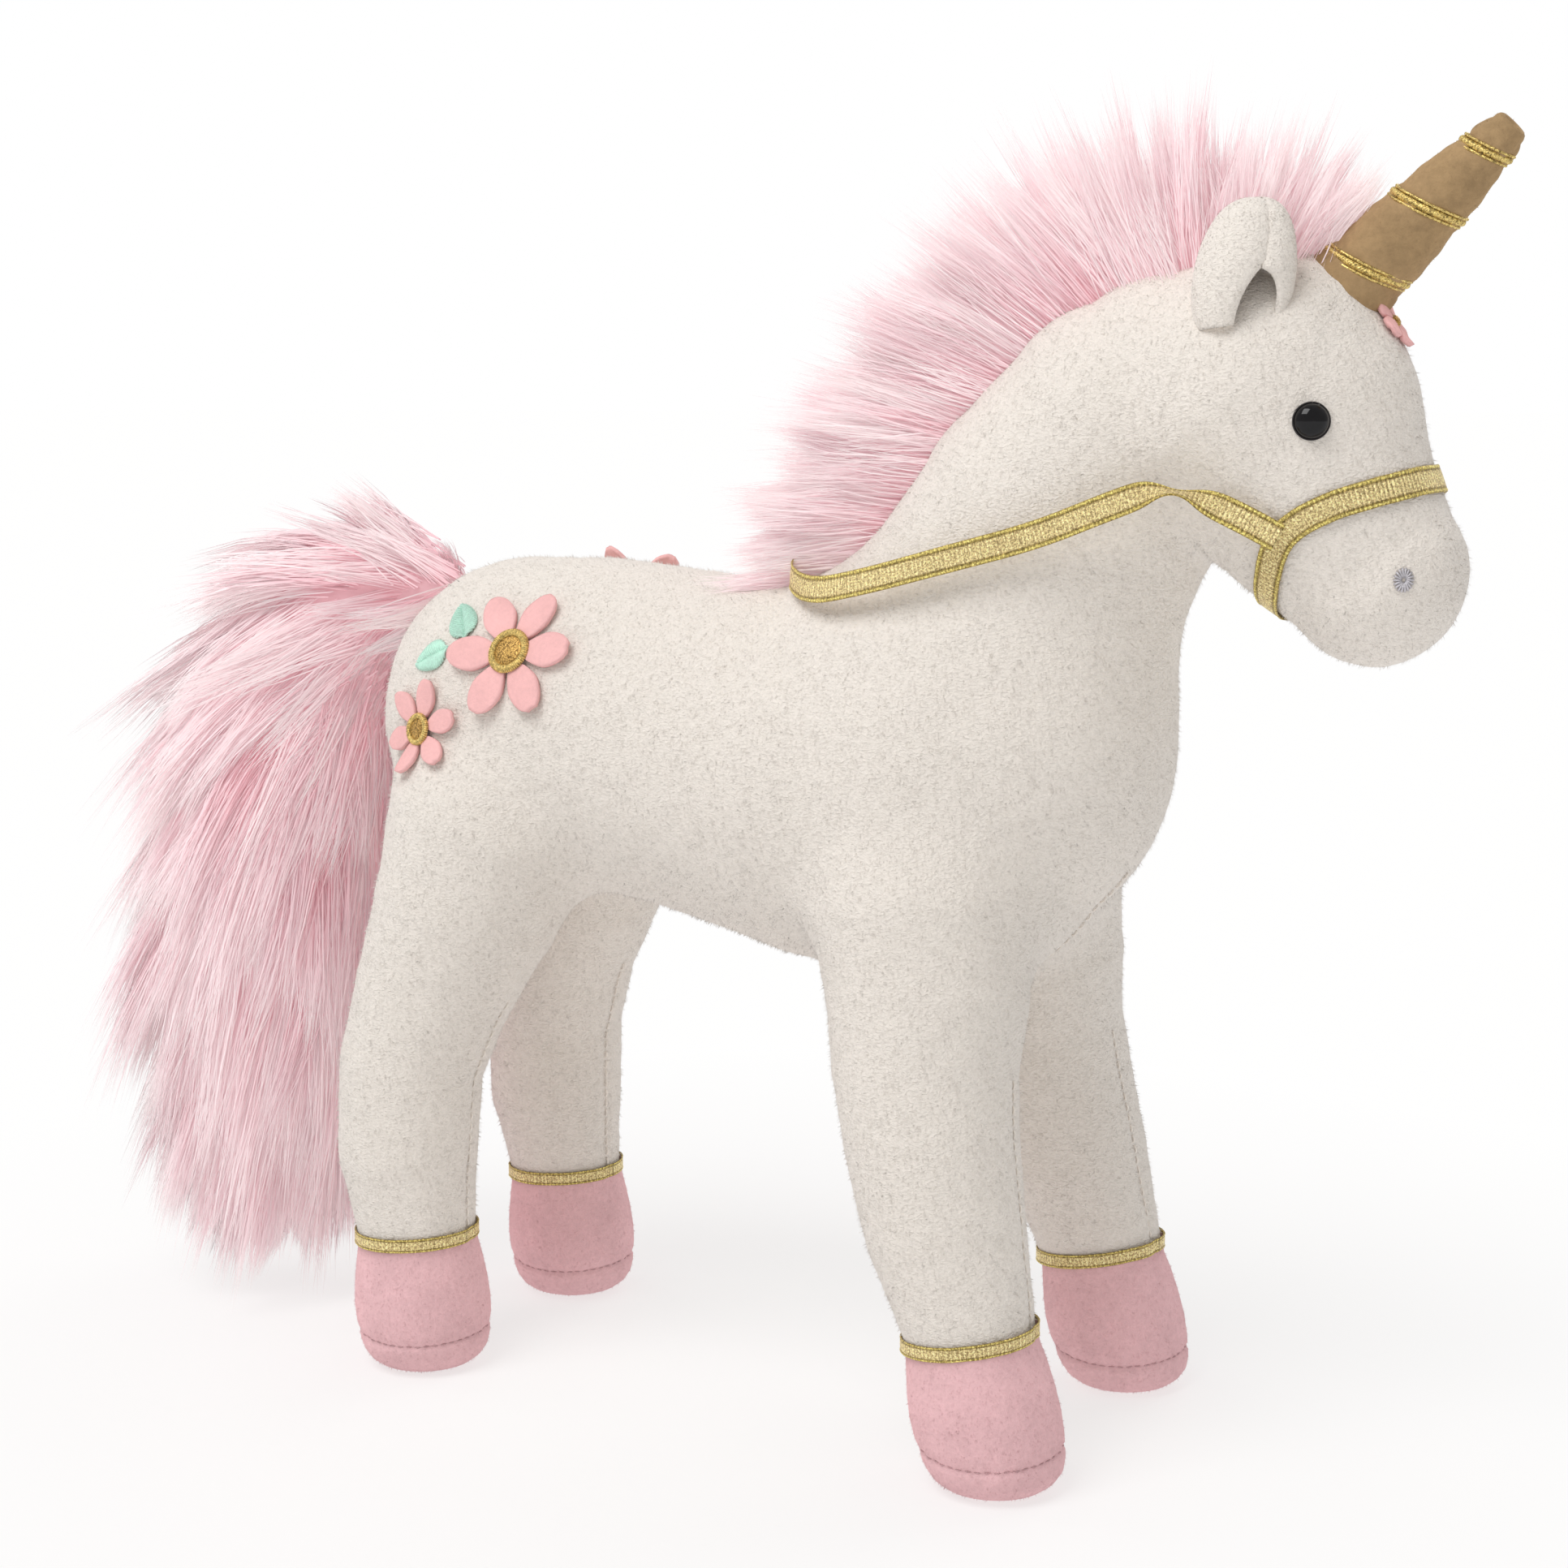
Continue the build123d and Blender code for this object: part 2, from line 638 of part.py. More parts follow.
def build_tail():
    """Tail of long fur, and the fabric patch on the rump that it is sewn to."""
    with BuildPart() as patch:
        with BuildSketch(tilted(TAIL[0][0], 0, TAIL[0][1] - TAIL_PATCH_R / 2, TAIL_PATCH_ANGLE)):
            Circle(TAIL_PATCH_R)
        extrude(amount=TAIL_PATCH_R, both=True)
        add(solid_through(torso_sections, -GAP - FELT), mode=Mode.INTERSECT)
        add(solid_through(torso_sections, -GAP), mode=Mode.SUBTRACT)
    write(patch.part, "tail_backing")
    sections = [(tilted(x, 0, z, turn), half_y, half_z) for x, z, turn, half_z, half_y in TAIL]
    with BuildPart() as pile:
        add(solid_through(sections, 0.0))
        add(solid_through(torso_sections, -3 * GAP - FELT), mode=Mode.SUBTRACT)
    write(pile.part, "tail_pile")


def flank(x, z, rise, side):
    """Plane through the flank, facing outwards and up by the rise angle."""
    origin = (x, side * FLANK_Y, z)
    return Plane(origin=origin, x_dir=(1, 0, 0), z_dir=(0, side * cos(radians(rise)), sin(radians(rise))))


def laid_on_flank(name, low, high, outlines):
    """Write felt cut to outlines and laid on both flanks, between two heights above the skin."""
    with BuildPart() as felt:
        for side in (-1, 1):
            for (x, z, rise), circles in outlines:
                with BuildSketch(flank(x, z, rise, side)):
                    for radius, ring, count in circles:
                        with PolarLocations(ring, count):
                            Circle(radius)
        extrude(amount=PRISM / 2, both=True)
        add(solid_through(torso_sections, -high), mode=Mode.INTERSECT)
        add(solid_through(torso_sections, -low), mode=Mode.SUBTRACT)
    write(felt.part, name)


def build_rump_flowers():
    """A large and a small felt flower with raised centres, and two leaves, on each flank."""
    petals = (GAP, GAP + PETAL_T)
    centres = (GAP + PETAL_T, GAP + 2 * PETAL_T)
    big_ring = [(BIG_PETAL_R, BIG_RING_R, PETALS), (BIG_RING_R, 0.0, 1)]
    small_ring = [(SMALL_PETAL_R, SMALL_RING_R, PETALS), (SMALL_RING_R, 0.0, 1)]
    laid_on_flank("flower_large_petals", *petals, [(FLOWER_BIG, big_ring)])
    laid_on_flank("flower_large_centres", *centres, [(FLOWER_BIG, [(BIG_CENTRE_R, 0.0, 1)])])
    laid_on_flank("flower_small_petals", *petals, [(FLOWER_SMALL, small_ring)])
    laid_on_flank("flower_small_centres", *centres, [(FLOWER_SMALL, [(SMALL_CENTRE_R, 0.0, 1)])])
    with BuildPart() as leaves:
        for side in (-1, 1):
            for x, z, turn in LEAVES:
                with BuildSketch(flank(x, z, FLOWER_BIG[2], side)):
                    with Locations(Location((0, 0, 0), (0, 0, side * -turn))):
                        Ellipse(LEAF_L / 2, LEAF_W / 2)
        extrude(amount=PRISM / 2, both=True)
        add(solid_through(torso_sections, -petals[1]), mode=Mode.INTERSECT)
        add(solid_through(torso_sections, -petals[0]), mode=Mode.SUBTRACT)
    write(leaves.part, "rump_leaves")


def arc_radii(points):
    """Radius of the arc at each inner point of a route, as large as the two runs beside it allow."""
    radii = []
    for before, here, after in zip(points, points[1:], points[2:]):
        run_in = Vector(*here) - Vector(*before)
        run_out = Vector(*after) - Vector(*here)
        half_turn = radians(run_in.get_angle(run_out) / 2)
        radii.append(ARC_SHARE * min(run_in.length, run_out.length) / tan(half_turn))
    return radii


def build_reins():
    """One flat ribbon from the noseband, past both sides of the neck and behind the withers."""
    back_x, back_z = REINS_BACK
    front_x, front_z = REINS_FRONT
    along = Vector(front_x - back_x, 0, front_z - back_z)
    level = Plane(origin=(back_x, 0, back_z), x_dir=along, z_dir=(-along.Z, 0, along.X))
    half = [(share * along.length, half_width) for share, half_width in REINS_HALF_ROUTE]
    points = [(u, -v) for u, v in half] + [(u, v) for u, v in reversed(half)]
    radii = arc_radii(points)
    print("reins: arc radii", [round(radius, 1) for radius in radii])
    with BuildPart() as reins:
        with BuildSketch(level):
            with BuildLine():
                FilletPolyline(*points, radius=radii)
                offset(amount=REINS_T, side=Side.LEFT)
            make_face()
        extrude(amount=REINS_W / 2, both=True)
    print("reins: length", round(reins.part.volume / (REINS_W * REINS_T), 1))
    write(reins.part, "reins")


build_torso()
build_neck()
build_head()
build_eyes()
build_nostrils()
build_noseband()
build_brow_flower()
build_horn()
build_neck_mane()
build_poll_mane()
build_ears()
for end, leg_sections, hoof_place in (("front", FRONT_LEG, FRONT_HOOF), ("rear", REAR_LEG, REAR_HOOF)):
    for leg_side, side_name in ((-1, "right"), (1, "left")):
        build_leg(f"leg_{end}_{side_name}", leg_sections, hoof_place, leg_side)
build_tail()
build_rump_flowers()
build_reins()
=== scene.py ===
import math

import bpy
import numpy as np
from bpy.props import FloatProperty, FloatVectorProperty, IntProperty, PointerProperty
from bpy.types import Operator, Panel, PropertyGroup
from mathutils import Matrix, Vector, noise
from mathutils.bvhtree import BVHTree


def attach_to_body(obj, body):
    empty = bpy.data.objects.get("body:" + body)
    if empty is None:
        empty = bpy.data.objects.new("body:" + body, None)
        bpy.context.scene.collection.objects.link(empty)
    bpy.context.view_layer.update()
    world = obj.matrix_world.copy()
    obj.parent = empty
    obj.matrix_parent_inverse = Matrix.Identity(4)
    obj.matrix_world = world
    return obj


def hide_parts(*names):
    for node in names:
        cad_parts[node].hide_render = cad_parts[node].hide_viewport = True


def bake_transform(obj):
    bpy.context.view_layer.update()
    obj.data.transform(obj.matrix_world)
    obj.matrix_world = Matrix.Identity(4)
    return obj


bl_info = {
    "name": "Plush unicorn",
    "version": (1, 0, 0),
    "blender": (4, 5, 0),
    "location": "View3D > Sidebar > Plush Unicorn",
    "description": "Builds a standing plush unicorn with fur mane and tail on its jointed frame",
    "category": "Add Mesh",
}

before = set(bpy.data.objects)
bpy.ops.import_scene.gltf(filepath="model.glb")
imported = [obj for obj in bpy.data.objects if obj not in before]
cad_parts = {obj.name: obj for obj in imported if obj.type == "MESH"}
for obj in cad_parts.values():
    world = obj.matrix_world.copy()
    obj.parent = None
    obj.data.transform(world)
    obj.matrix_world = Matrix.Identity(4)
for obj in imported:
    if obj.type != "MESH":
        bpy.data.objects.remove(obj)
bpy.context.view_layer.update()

MM = 0.001
UP = np.array([0.0, 0.0, 1.0])

# Stuffed forms, in millimetres, as runs of balls (x, y, z, radius) with straight sides between them.
# X points forward, Y to the left and Z up. Legs are given for the left side and mirrored.
TORSO = [
    (-66, 0, 191, 46.5),
    (-40, 0, 190, 48.0),
    (0, 0, 184.5, 49.5),
    (35, 0, 180, 53.0),
    (68, 0, 178, 55.0),
    (84, 0, 185, 47.5),
]
NECK = [(82, 0, 212, 47.0), (102, 0, 250, 40.5), (121, 0, 275, 36.0), (134, 0, 286, 31.5)]
HEAD = [(156, 0, 281, 39.0), (188, 0, 240.5, 23.6)]
BROW = [(163, 0, 287, 33.0), (170, 0, 282, 27.0)]
REAR_LEG = [
    (-66, 24, 158, 32),
    (-72, 29, 138, 27.5),
    (-81, 34, 112, 23.0),
    (-87, 38, 90, 21.2),
    (-87.5, 39.5, 64, 20.5),
    (-85.5, 40, 48, 18.2),
    (-84.5, 40, 39, 17.2),
]
FRONT_LEG = [
    (77, 28, 146, 31),
    (79.5, 32, 128, 27.5),
    (81, 36.5, 108, 24.8),
    (84.5, 40, 90, 23.2),
    (90, 42.5, 68, 21.5),
    (96.5, 44, 48, 18.4),
    (99, 44.5, 39, 17.2),
]

# How flat each form is across the body
TORSO_FLAT = 0.93
NECK_FLAT = 0.84
HEAD_FLAT = 0.88
BROW_FLAT = 0.8

# Fillets where forms meet: torso and neck, head and neck, hips, and brow
FLESH = 22.0
CREASE = 4.0
HIP_FILLET = 11.0
BROW_FILLET = 8.0

# Skin: step of the grid it is taken from, width and depth of its seams, and depth of its ripples
VOXEL = 1.6
SEAM_WIDTH = 1.3
SEAM_DEPTH = 0.55
RIPPLE_DEPTH = 0.55

# Pile of hooves and horn: hairs on each square millimetre, their length and their width
HOOF_PILE = (0.8, 0.8, 0.22)
HORN_PILE = (0.5, 0.5, 0.2)
EAR_PILE_LENGTH = 1.2
PLUSH_HAIR_WIDTH = 0.24

# Joints where cloth bends: the neck's root, the seam behind the head, and the tops of the legs
NECK_ROOT = np.array([88.0, 0.0, 218.0])
NECK_DIR = np.array([0.536, 0.0, 0.844])
POLL_FROM = np.array([118.0, 0.0, 268.0])
POLL_TO = np.array([146.0, 0.0, 280.0])
LEG_CUT = {"front": 120.0, "rear": 133.0}
LEGS = [(end, side) for end in ("front", "rear") for side in ("right", "left")]
LEG_CHAIN = {"front": FRONT_LEG, "rear": REAR_LEG}
HOOF = {"front": (106.3, 45.0), "rear": (-82.0, 40.0)}
SIGN = {"right": -1.0, "left": 1.0}

# Crest of the neck and poll under the mane, as a run of balls
CREST = [
    (38, 0, 236, 6.0),
    (46, 0, 246, 7.5),
    (57, 0, 259.5, 8.0),
    (70, 0, 274.5, 8.0),
    (86, 0, 289.5, 8.0),
    (103, 0, 301, 8.0),
    (121, 0, 308.5, 8.0),
    (139, 0, 312.5, 8.0),
    (158, 0, 312.5, 7.5),
]

# How the mane is combed: places along the crest, and where the hair's tips stand from there (x, z)
COMB = [
    ((40, 238), (-38, -4)),
    ((54, 256), (-43, 1)),
    ((68, 272), (-47, 7)),
    ((85, 290), (-45, 16)),
    ((98, 300), (-40, 28)),
    ((110, 306), (-36, 38)),
    ((121, 310), (-26, 46)),
    ((137, 315), (-8, 47)),
    ((152, 316), (9, 42)),
    ((164, 315), (24, 28)),
]
MANE_LENGTH = 57.0

# Core of the tail, as a run of balls
TAIL = [
    (-100, 0, 225, 9.0),
    (-114, 0, 228, 14.0),
    (-133, 0, 221, 21.0),
    (-148, 0, 201, 28.0),
    (-158, 0, 168, 33.0),
    (-163, 0, 130, 34.0),
    (-165, 0, 95, 32.0),
    (-168, 0, 64, 26.0),
    (-170, 0, 42, 15.0),
]
TAIL_FLAT = 0.72

# The tail's hair is drawn in behind this place, within so many millimetres
TAIL_BACK = -230.0
TAIL_GIVE = 8.0

# Reins: the ribbon's route in metres, from the noseband on the left side, round behind the withers
REIN_SIDE = [
    (0.1725, 0.0290, 0.2500),
    (0.1600, 0.0340, 0.2575),
    (0.1460, 0.0385, 0.2625),
    (0.1310, 0.0395, 0.2570),
    (0.1120, 0.0395, 0.2495),
    (0.0880, 0.0420, 0.2430),
    (0.0640, 0.0410, 0.2365),
    (0.0430, 0.0340, 0.2325),
    (0.0265, 0.0160, 0.2375),
]
# Where the ribbon passes from the head's bend to the neck's, along X in metres
REIN_PART = 0.111
# Where the ribbon turns over, half the length of that turn, and its angle in radians
REIN_TURN = (149.0, 7.5, 1.3)
# Widths and spacing of rows in a ribbon, in millimetres
REIN_WIDTH = 7.2
ANKLE_RIBBON_WIDTH = 4.0
RIBBON_STEP = 0.55

# Horn: middle of its foot, directions along it and to its front, and its bands (distance along, radius)
HORN_BASE = np.array([176.9, 0.0, 309.3])
HORN_AXIS = np.array([0.723, 0.0, 0.691])
HORN_FRONT = np.array([0.691, 0.0, -0.723])
HORN_BANDS = [(10.0, 10.2), (30.5, 8.7), (49.5, 5.8)]

# Face: places on the left side, laid onto the skin, and the eye's radius
EYE_SPOT = (179.8, 27.4, 278.5)
NOSTRIL_SPOT = (200.7, 17.6, 240.0)
BROW_SPOT = (189.0, 0.5, 301.5)
EYE_RADIUS = 4.35

# Rump flowers: place on the left side, petal's reach and half width, radius of the middle, first angle
FLOWERS = {
    "large": ((-48.3, 39.0, 212.7), 20.0, 5.1, 6.2, 0.10),
    "small": ((-76.5, 40.0, 189.2), 14.4, 3.5, 4.3, 0.35),
}
# How much higher the large flower is sewn on the left side than on the right
LEFT_FLOWER_RISE = 14.5
# Leaves: place on the left side, and angle of the midrib in degrees
LEAVES = [((-68.5, 33.0, 219.5), 58), ((-75.5, 36.0, 209.5), -28)]

# Stage, in metres and degrees: the camera, and the lamps as name, place, size and power
CAMERA_PLACE = (0.3955, -0.6794, 0.2836)
CAMERA_TILT = 90 - 7.94
CAMERA_TURN = 29.07
CAMERA_LENS = 63.24
LAMPS = [
    ("key light", (-0.3, -1.1, 1.9), 1.2, 25),
    ("side light", (-1.6, 0.2, 1.1), 1.4, 5),
    ("back light", (0.4, 1.7, 1.3), 1.6, 10),
]
LAMP_AIM = Vector((0, 0, 0.18))
# Half the side of the floor in millimetres, and where it starts and ends brightening, in metres
FLOOR_HALF = 60000.0
FLOOR_GLOW = (0.12, 0.4)


# ---------------------------------------------------------------- forms


def chain_distance(points, chain, flat):
    """Signed distance from points to a run of balls, flattened across the body."""
    scaled = points * np.array([1.0, 1.0 / flat, 1.0], np.float32)
    best = np.full(points.shape[0], 1e6, np.float32)
    for first, second in zip(chain, chain[1:]):
        a, b = np.array(first[:3], np.float32), np.array(second[:3], np.float32)
        run = b - a
        along = np.clip((scaled - a) @ run / (run @ run), 0, 1)
        gap = scaled - a - along[:, None] * run
        radius = first[3] + (second[3] - first[3]) * along
        best = np.minimum(best, np.sqrt(np.einsum("ij,ij->i", gap, gap)) - radius)
    return best


def melt(a, b, width):
    """Union of two distance fields with a fillet of that width."""
    share = np.clip(0.5 + 0.5 * (b - a) / width, 0, 1)
    return b + (a - b) * share - width * share * (1 - share)


def body_distance(points):
    """Signed distance to the whole stuffed body; points are folded onto its left side."""
    folded = points.copy()
    folded[:, 1] = np.abs(folded[:, 1])
    torso = chain_distance(folded, TORSO, TORSO_FLAT)
    neck = chain_distance(folded, NECK, NECK_FLAT)
    head = melt(chain_distance(folded, HEAD, HEAD_FLAT), chain_distance(folded, BROW, BROW_FLAT), BROW_FILLET)
    trunk = melt(torso, neck, FLESH)
    for leg in (REAR_LEG, FRONT_LEG):
        trunk = melt(trunk, chain_distance(folded, leg, 1.0), HIP_FILLET)
    return melt(trunk, head, CREASE)


def surface_of(field, origin, step):
    """Vertices and quads of the zero surface of a grid of signed distances."""
    shape = np.array(field.shape) - 1
    total = np.zeros((*shape, 3), np.float32)
    count = np.zeros(shape, np.float32)
    inside = field < 0
    quads = []
    index = -np.ones(shape, np.int64)
    crossings = []
    for axis in range(3):
        low = [slice(None)] * 3
        high = [slice(None)] * 3
        low[axis] = slice(0, -1)
        high[axis] = slice(1, None)
        a, b = field[tuple(low)], field[tuple(high)]
        where = np.argwhere(inside[tuple(low)] != inside[tuple(high)])
        va, vb = a[tuple(where.T)], b[tuple(where.T)]
        place = where.astype(np.float32)
        place[:, axis] += va / (va - vb)
        others = [o for o in range(3) if o != axis]
        cells = []
        for da, db in ((-1, -1), (0, -1), (0, 0), (-1, 0)):
            cell = where.copy()
            cell[:, others[0]] += da
            cell[:, others[1]] += db
            np.add.at(total, tuple(cell.T), place)
            np.add.at(count, tuple(cell.T), 1)
            cells.append(cell)
        crossings.append((cells, va < vb, axis))
    used = count > 0
    index[used] = np.arange(int(used.sum()))
    for cells, rising, axis in crossings:
        corners = np.stack([index[tuple(c.T)] for c in cells], 1)
        flip = rising if axis == 1 else ~rising
        corners[flip] = corners[flip][:, ::-1]
        quads.append(corners)
    verts = total[used] / count[used][:, None] * step + np.array(origin, np.float32)
    return verts, np.concatenate(quads)


def skin_mesh():
    """Vertices and quads of the whole stuffed body."""
    low = np.array([-120.0, 0.0, 20.0])
    high = np.array([218.0, 72.0, 326.0])
    counts = np.ceil((high - low) / VOXEL).astype(int)
    axes = [low[i] + VOXEL * np.arange(counts[i]) for i in range(3)]
    axes[1] = VOXEL * np.arange(counts[1])
    grid = np.stack(np.meshgrid(*axes, indexing="ij"), -1).reshape(-1, 3).astype(np.float32)
    half = body_distance(grid).reshape([len(a) for a in axes])
    field = np.concatenate([half[:, :0:-1], half], 1)
    verts, quads = surface_of(field, (low[0], -axes[1][-1], low[2]), VOXEL)
    return relaxed(verts, quads, 3), quads


def relaxed(verts, quads, rounds):
    """Vertices moved towards the middle of their neighbours, without shrinking the whole."""
    edges = np.concatenate([quads[:, [0, 1]], quads[:, [1, 2]], quads[:, [2, 3]], quads[:, [3, 0]]])
    links = np.bincount(edges[:, 0], minlength=len(verts)).astype(np.float32)
    for _ in range(rounds):
        for pull in (0.55, -0.57):
            total = np.zeros_like(verts)
            np.add.at(total, edges[:, 0], verts[edges[:, 1]])
            verts = verts + pull * (total / np.maximum(links, 1)[:, None] - verts)
    return verts


def point_normals(verts, faces):
    """Unit normals at vertices."""
    corners = verts[faces]
    across = np.cross(corners[:, 2] - corners[:, 0], corners[:, 3 % faces.shape[1]] - corners[:, 1])
    total = np.zeros_like(verts)
    for k in range(faces.shape[1]):
        np.add.at(total, faces[:, k], across)
    return total / np.maximum(np.linalg.norm(total, axis=1), 1e-9)[:, None]


def make_mesh(name, verts, faces, material, normals=None):
    """Smooth mesh object from millimetre vertices and faces, with one material."""
    mesh = bpy.data.meshes.new(name)
    mesh.vertices.add(len(verts))
    mesh.vertices.foreach_set("co", (np.asarray(verts, np.float32) * MM).ravel())
    faces = [np.asarray(f, np.int32) for f in (faces if isinstance(faces, list) else [faces])]
    loops = np.concatenate([f.ravel() for f in faces])
    sizes = np.concatenate([np.full(len(f), f.shape[1], np.int32) for f in faces])
    mesh.loops.add(len(loops))
    mesh.loops.foreach_set("vertex_index", loops)
    mesh.polygons.add(len(sizes))
    starts = np.concatenate([[0], np.cumsum(sizes)[:-1]]).astype(np.int32)
    mesh.polygons.foreach_set("loop_start", starts)
    mesh.polygons.foreach_set("use_smooth", np.ones(len(sizes), bool))
    mesh.update(calc_edges=True)
    mesh.validate()
    mesh.materials.append(material)
    if normals is not None:
        mesh.normals_split_custom_set_from_vertices([Vector(n) for n in normals])
    made = bpy.data.objects.new(name, mesh)
    bpy.context.scene.collection.objects.link(made)
    return made


# ---------------------------------------------------------------- materials


def node(tree, kind, **values):
    """A shader node with inputs and settings given by name."""
    made = tree.nodes.new(kind)
    for key, value in values.items():
        if key in made.inputs:
            made.inputs[key].default_value = value
        else:
            setattr(made, key, value)
    return made


def cloth(name, colour, rough=0.9, sheen=0.4, tint=None):
    """Cloth material and its shader, ready for colour and bump nodes."""
    material = bpy.data.materials.new(name)
    material.use_nodes = True
    tree = material.node_tree
    shader = tree.nodes["Principled BSDF"]
    shader.inputs["Base Color"].default_value = (*colour, 1)
    shader.inputs["Roughness"].default_value = rough
    shader.inputs["Sheen Weight"].default_value = sheen
    shader.inputs["Sheen Roughness"].default_value = 0.5
    shader.inputs["Sheen Tint"].default_value = (*(tint or colour), 1)
    shader.inputs["Specular IOR Level"].default_value = 0.2
    return material, tree, shader


def object_noise(tree, scale, detail=3.0, rough=0.6, stretch=(1, 1, 1)):
    """Noise in object space, per metre."""
    place = node(tree, "ShaderNodeTexCoord")
    mapping = node(tree, "ShaderNodeMapping")
    mapping.inputs["Scale"].default_value = stretch
    made = node(tree, "ShaderNodeTexNoise", Scale=scale, Detail=detail, Roughness=rough)
    tree.links.new(place.outputs["Object"], mapping.inputs["Vector"])
    tree.links.new(mapping.outputs["Vector"], made.inputs["Vector"])
    return made


def ramp(tree, source, stops):
    """Colour ramp from a socket; stops are (place, colour)."""
    made = tree.nodes.new("ShaderNodeValToRGB")
    while len(made.color_ramp.elements) < len(stops):
        made.color_ramp.elements.new(0.5)
    for element, (place, colour) in zip(made.color_ramp.elements, stops):
        element.position = place
        element.color = (*colour, 1)
    tree.links.new(source, made.inputs["Fac"])
    return made


def bump(tree, shader, sources, distance=0.0006, strength=0.6):
    """Bump from the sum of weighted sockets."""
    total = None
    for socket, weight in sources:
        scaled = node(tree, "ShaderNodeMath", operation="MULTIPLY")
        tree.links.new(socket, scaled.inputs[0])
        scaled.inputs[1].default_value = weight
        if total is None:
            total = scaled.outputs[0]
            continue
        added = node(tree, "ShaderNodeMath", operation="ADD")
        tree.links.new(total, added.inputs[0])
        tree.links.new(scaled.outputs[0], added.inputs[1])
        total = added.outputs[0]
    made = node(tree, "ShaderNodeBump", Strength=strength, Distance=distance)
    tree.links.new(total, made.inputs["Height"])
    tree.links.new(made.outputs["Normal"], shader.inputs["Normal"])


def shade(colour, factor):
    """Colour times a factor."""
    return tuple(min(1.0, c * factor) for c in colour)


def plush_material():
    """Short white pile with a fine nap."""
    colour = tuple(bpy.context.scene.unicorn_colours.plush)
    material, tree, shader = cloth("white plush", colour, 0.95, 0.35, (1, 1, 1))
    nap = object_noise(tree, 900.0, 3.0, 0.6, (1, 1, 1.6))
    colours = ramp(
        tree, nap.outputs["Fac"], [(0.3, shade(colour, 0.94)), (0.5, colour), (0.7, shade(colour, 1.04))]
    )
    tree.links.new(colours.outputs["Color"], shader.inputs["Base Color"])
    bump(tree, shader, [(nap.outputs["Fac"], 1.0)], 0.0011, 0.9)
    return material


def woven(name, colour, scale=900.0, rough=0.8, metallic=0.0, contrast=0.12, sheen=0.3, depth=0.0003):
    """Cloth material with a fine two-way grain and patchy tone."""
    material, tree, shader = cloth(name, colour, rough, sheen)
    shader.inputs["Metallic"].default_value = metallic
    grain = object_noise(tree, scale, 4.0, 0.7)
    tone = object_noise(tree, 90.0, 3.0, 0.6)
    mixed = node(tree, "ShaderNodeMath", operation="ADD")
    tree.links.new(grain.outputs["Fac"], mixed.inputs[0])
    tree.links.new(tone.outputs["Fac"], mixed.inputs[1])
    stops = [(0.7, shade(colour, 1 - contrast)), (1.0, colour), (1.3, shade(colour, 1 + contrast))]
    colours = ramp(tree, mixed.outputs[0], [(p / 2, c) for p, c in stops])
    half = node(tree, "ShaderNodeMath", operation="MULTIPLY")
    half.inputs[1].default_value = 0.5
    tree.links.new(mixed.outputs[0], half.inputs[0])
    tree.links.new(half.outputs[0], colours.inputs["Fac"])
    tree.links.new(colours.outputs["Color"], shader.inputs["Base Color"])
    bump(tree, shader, [(grain.outputs["Fac"], 1.0)], depth, 0.7)
    return material


def fur_material(name, root, tip):
    """Long fur, deeper at the roots and pale at the tips, with tone changing between tufts and a faint
    painted glow in its own colour.
    """
    material, tree, shader = cloth(name, root, 0.6, 0.3, (1, 0.95, 0.96))
    data = node(tree, "ShaderNodeAttribute", attribute_name="fur")
    parts = tree.nodes.new("ShaderNodeSeparateColor")
    tree.links.new(data.outputs["Color"], parts.inputs["Color"])
    middle = tuple((r + t) / 2 for r, t in zip(root, tip))
    white = (0.92, 0.82, 0.82)
    pink = ramp(tree, parts.outputs["Red"], [(0.0, root), (0.35, middle), (0.75, tip), (1.0, white)])
    light = tuple((t + w) / 2 for t, w in zip(tip, white))
    pale = ramp(tree, parts.outputs["Red"], [(0.0, middle), (0.25, light), (0.7, white)])
    along = node(tree, "ShaderNodeMix", data_type="RGBA")
    tree.links.new(parts.outputs["Blue"], along.inputs["Factor"])
    tree.links.new(pink.outputs["Color"], along.inputs["A"])
    tree.links.new(pale.outputs["Color"], along.inputs["B"])
    dark = ramp(
        tree, parts.outputs["Green"],
        [(0.1, (0.9, 0.83, 0.85)), (0.5, (1.0, 1.0, 1.0)), (0.9, (1.04, 1.07, 1.07))],
    )
    tint = node(tree, "ShaderNodeMix", data_type="RGBA", blend_type="MULTIPLY")
    tint.inputs["Factor"].default_value = 1.0
    tree.links.new(along.outputs["Result"], tint.inputs["A"])
    tree.links.new(dark.outputs["Color"], tint.inputs["B"])
    tree.links.new(tint.outputs["Result"], shader.inputs["Base Color"])
    # The fur glows faintly in its own colour: painted light, which keeps it bright where strands shade each
    # other and stands in for light passing through thin hair.
    tree.links.new(tint.outputs["Result"], shader.inputs["Emission Color"])
    shader.inputs["Emission Strength"].default_value = 0.15
    return material


def gold_material(name, colour, dark, scale=1500.0, metallic=0.75, rough=0.34):
    """Metallic thread: bright gold flecks over a darker ground."""
    material, tree, shader = cloth(name, colour, rough, 0.1)
    shader.inputs["Metallic"].default_value = metallic
    flecks = object_noise(tree, scale, 2.0, 0.7)
    colours = ramp(tree, flecks.outputs["Fac"], [(0.36, dark), (0.52, colour), (0.66, shade(colour, 1.45))])
    tree.links.new(colours.outputs["Color"], shader.inputs["Base Color"])
    bump(tree, shader, [(flecks.outputs["Fac"], 1.0)], 0.0003, 0.8)
    return material


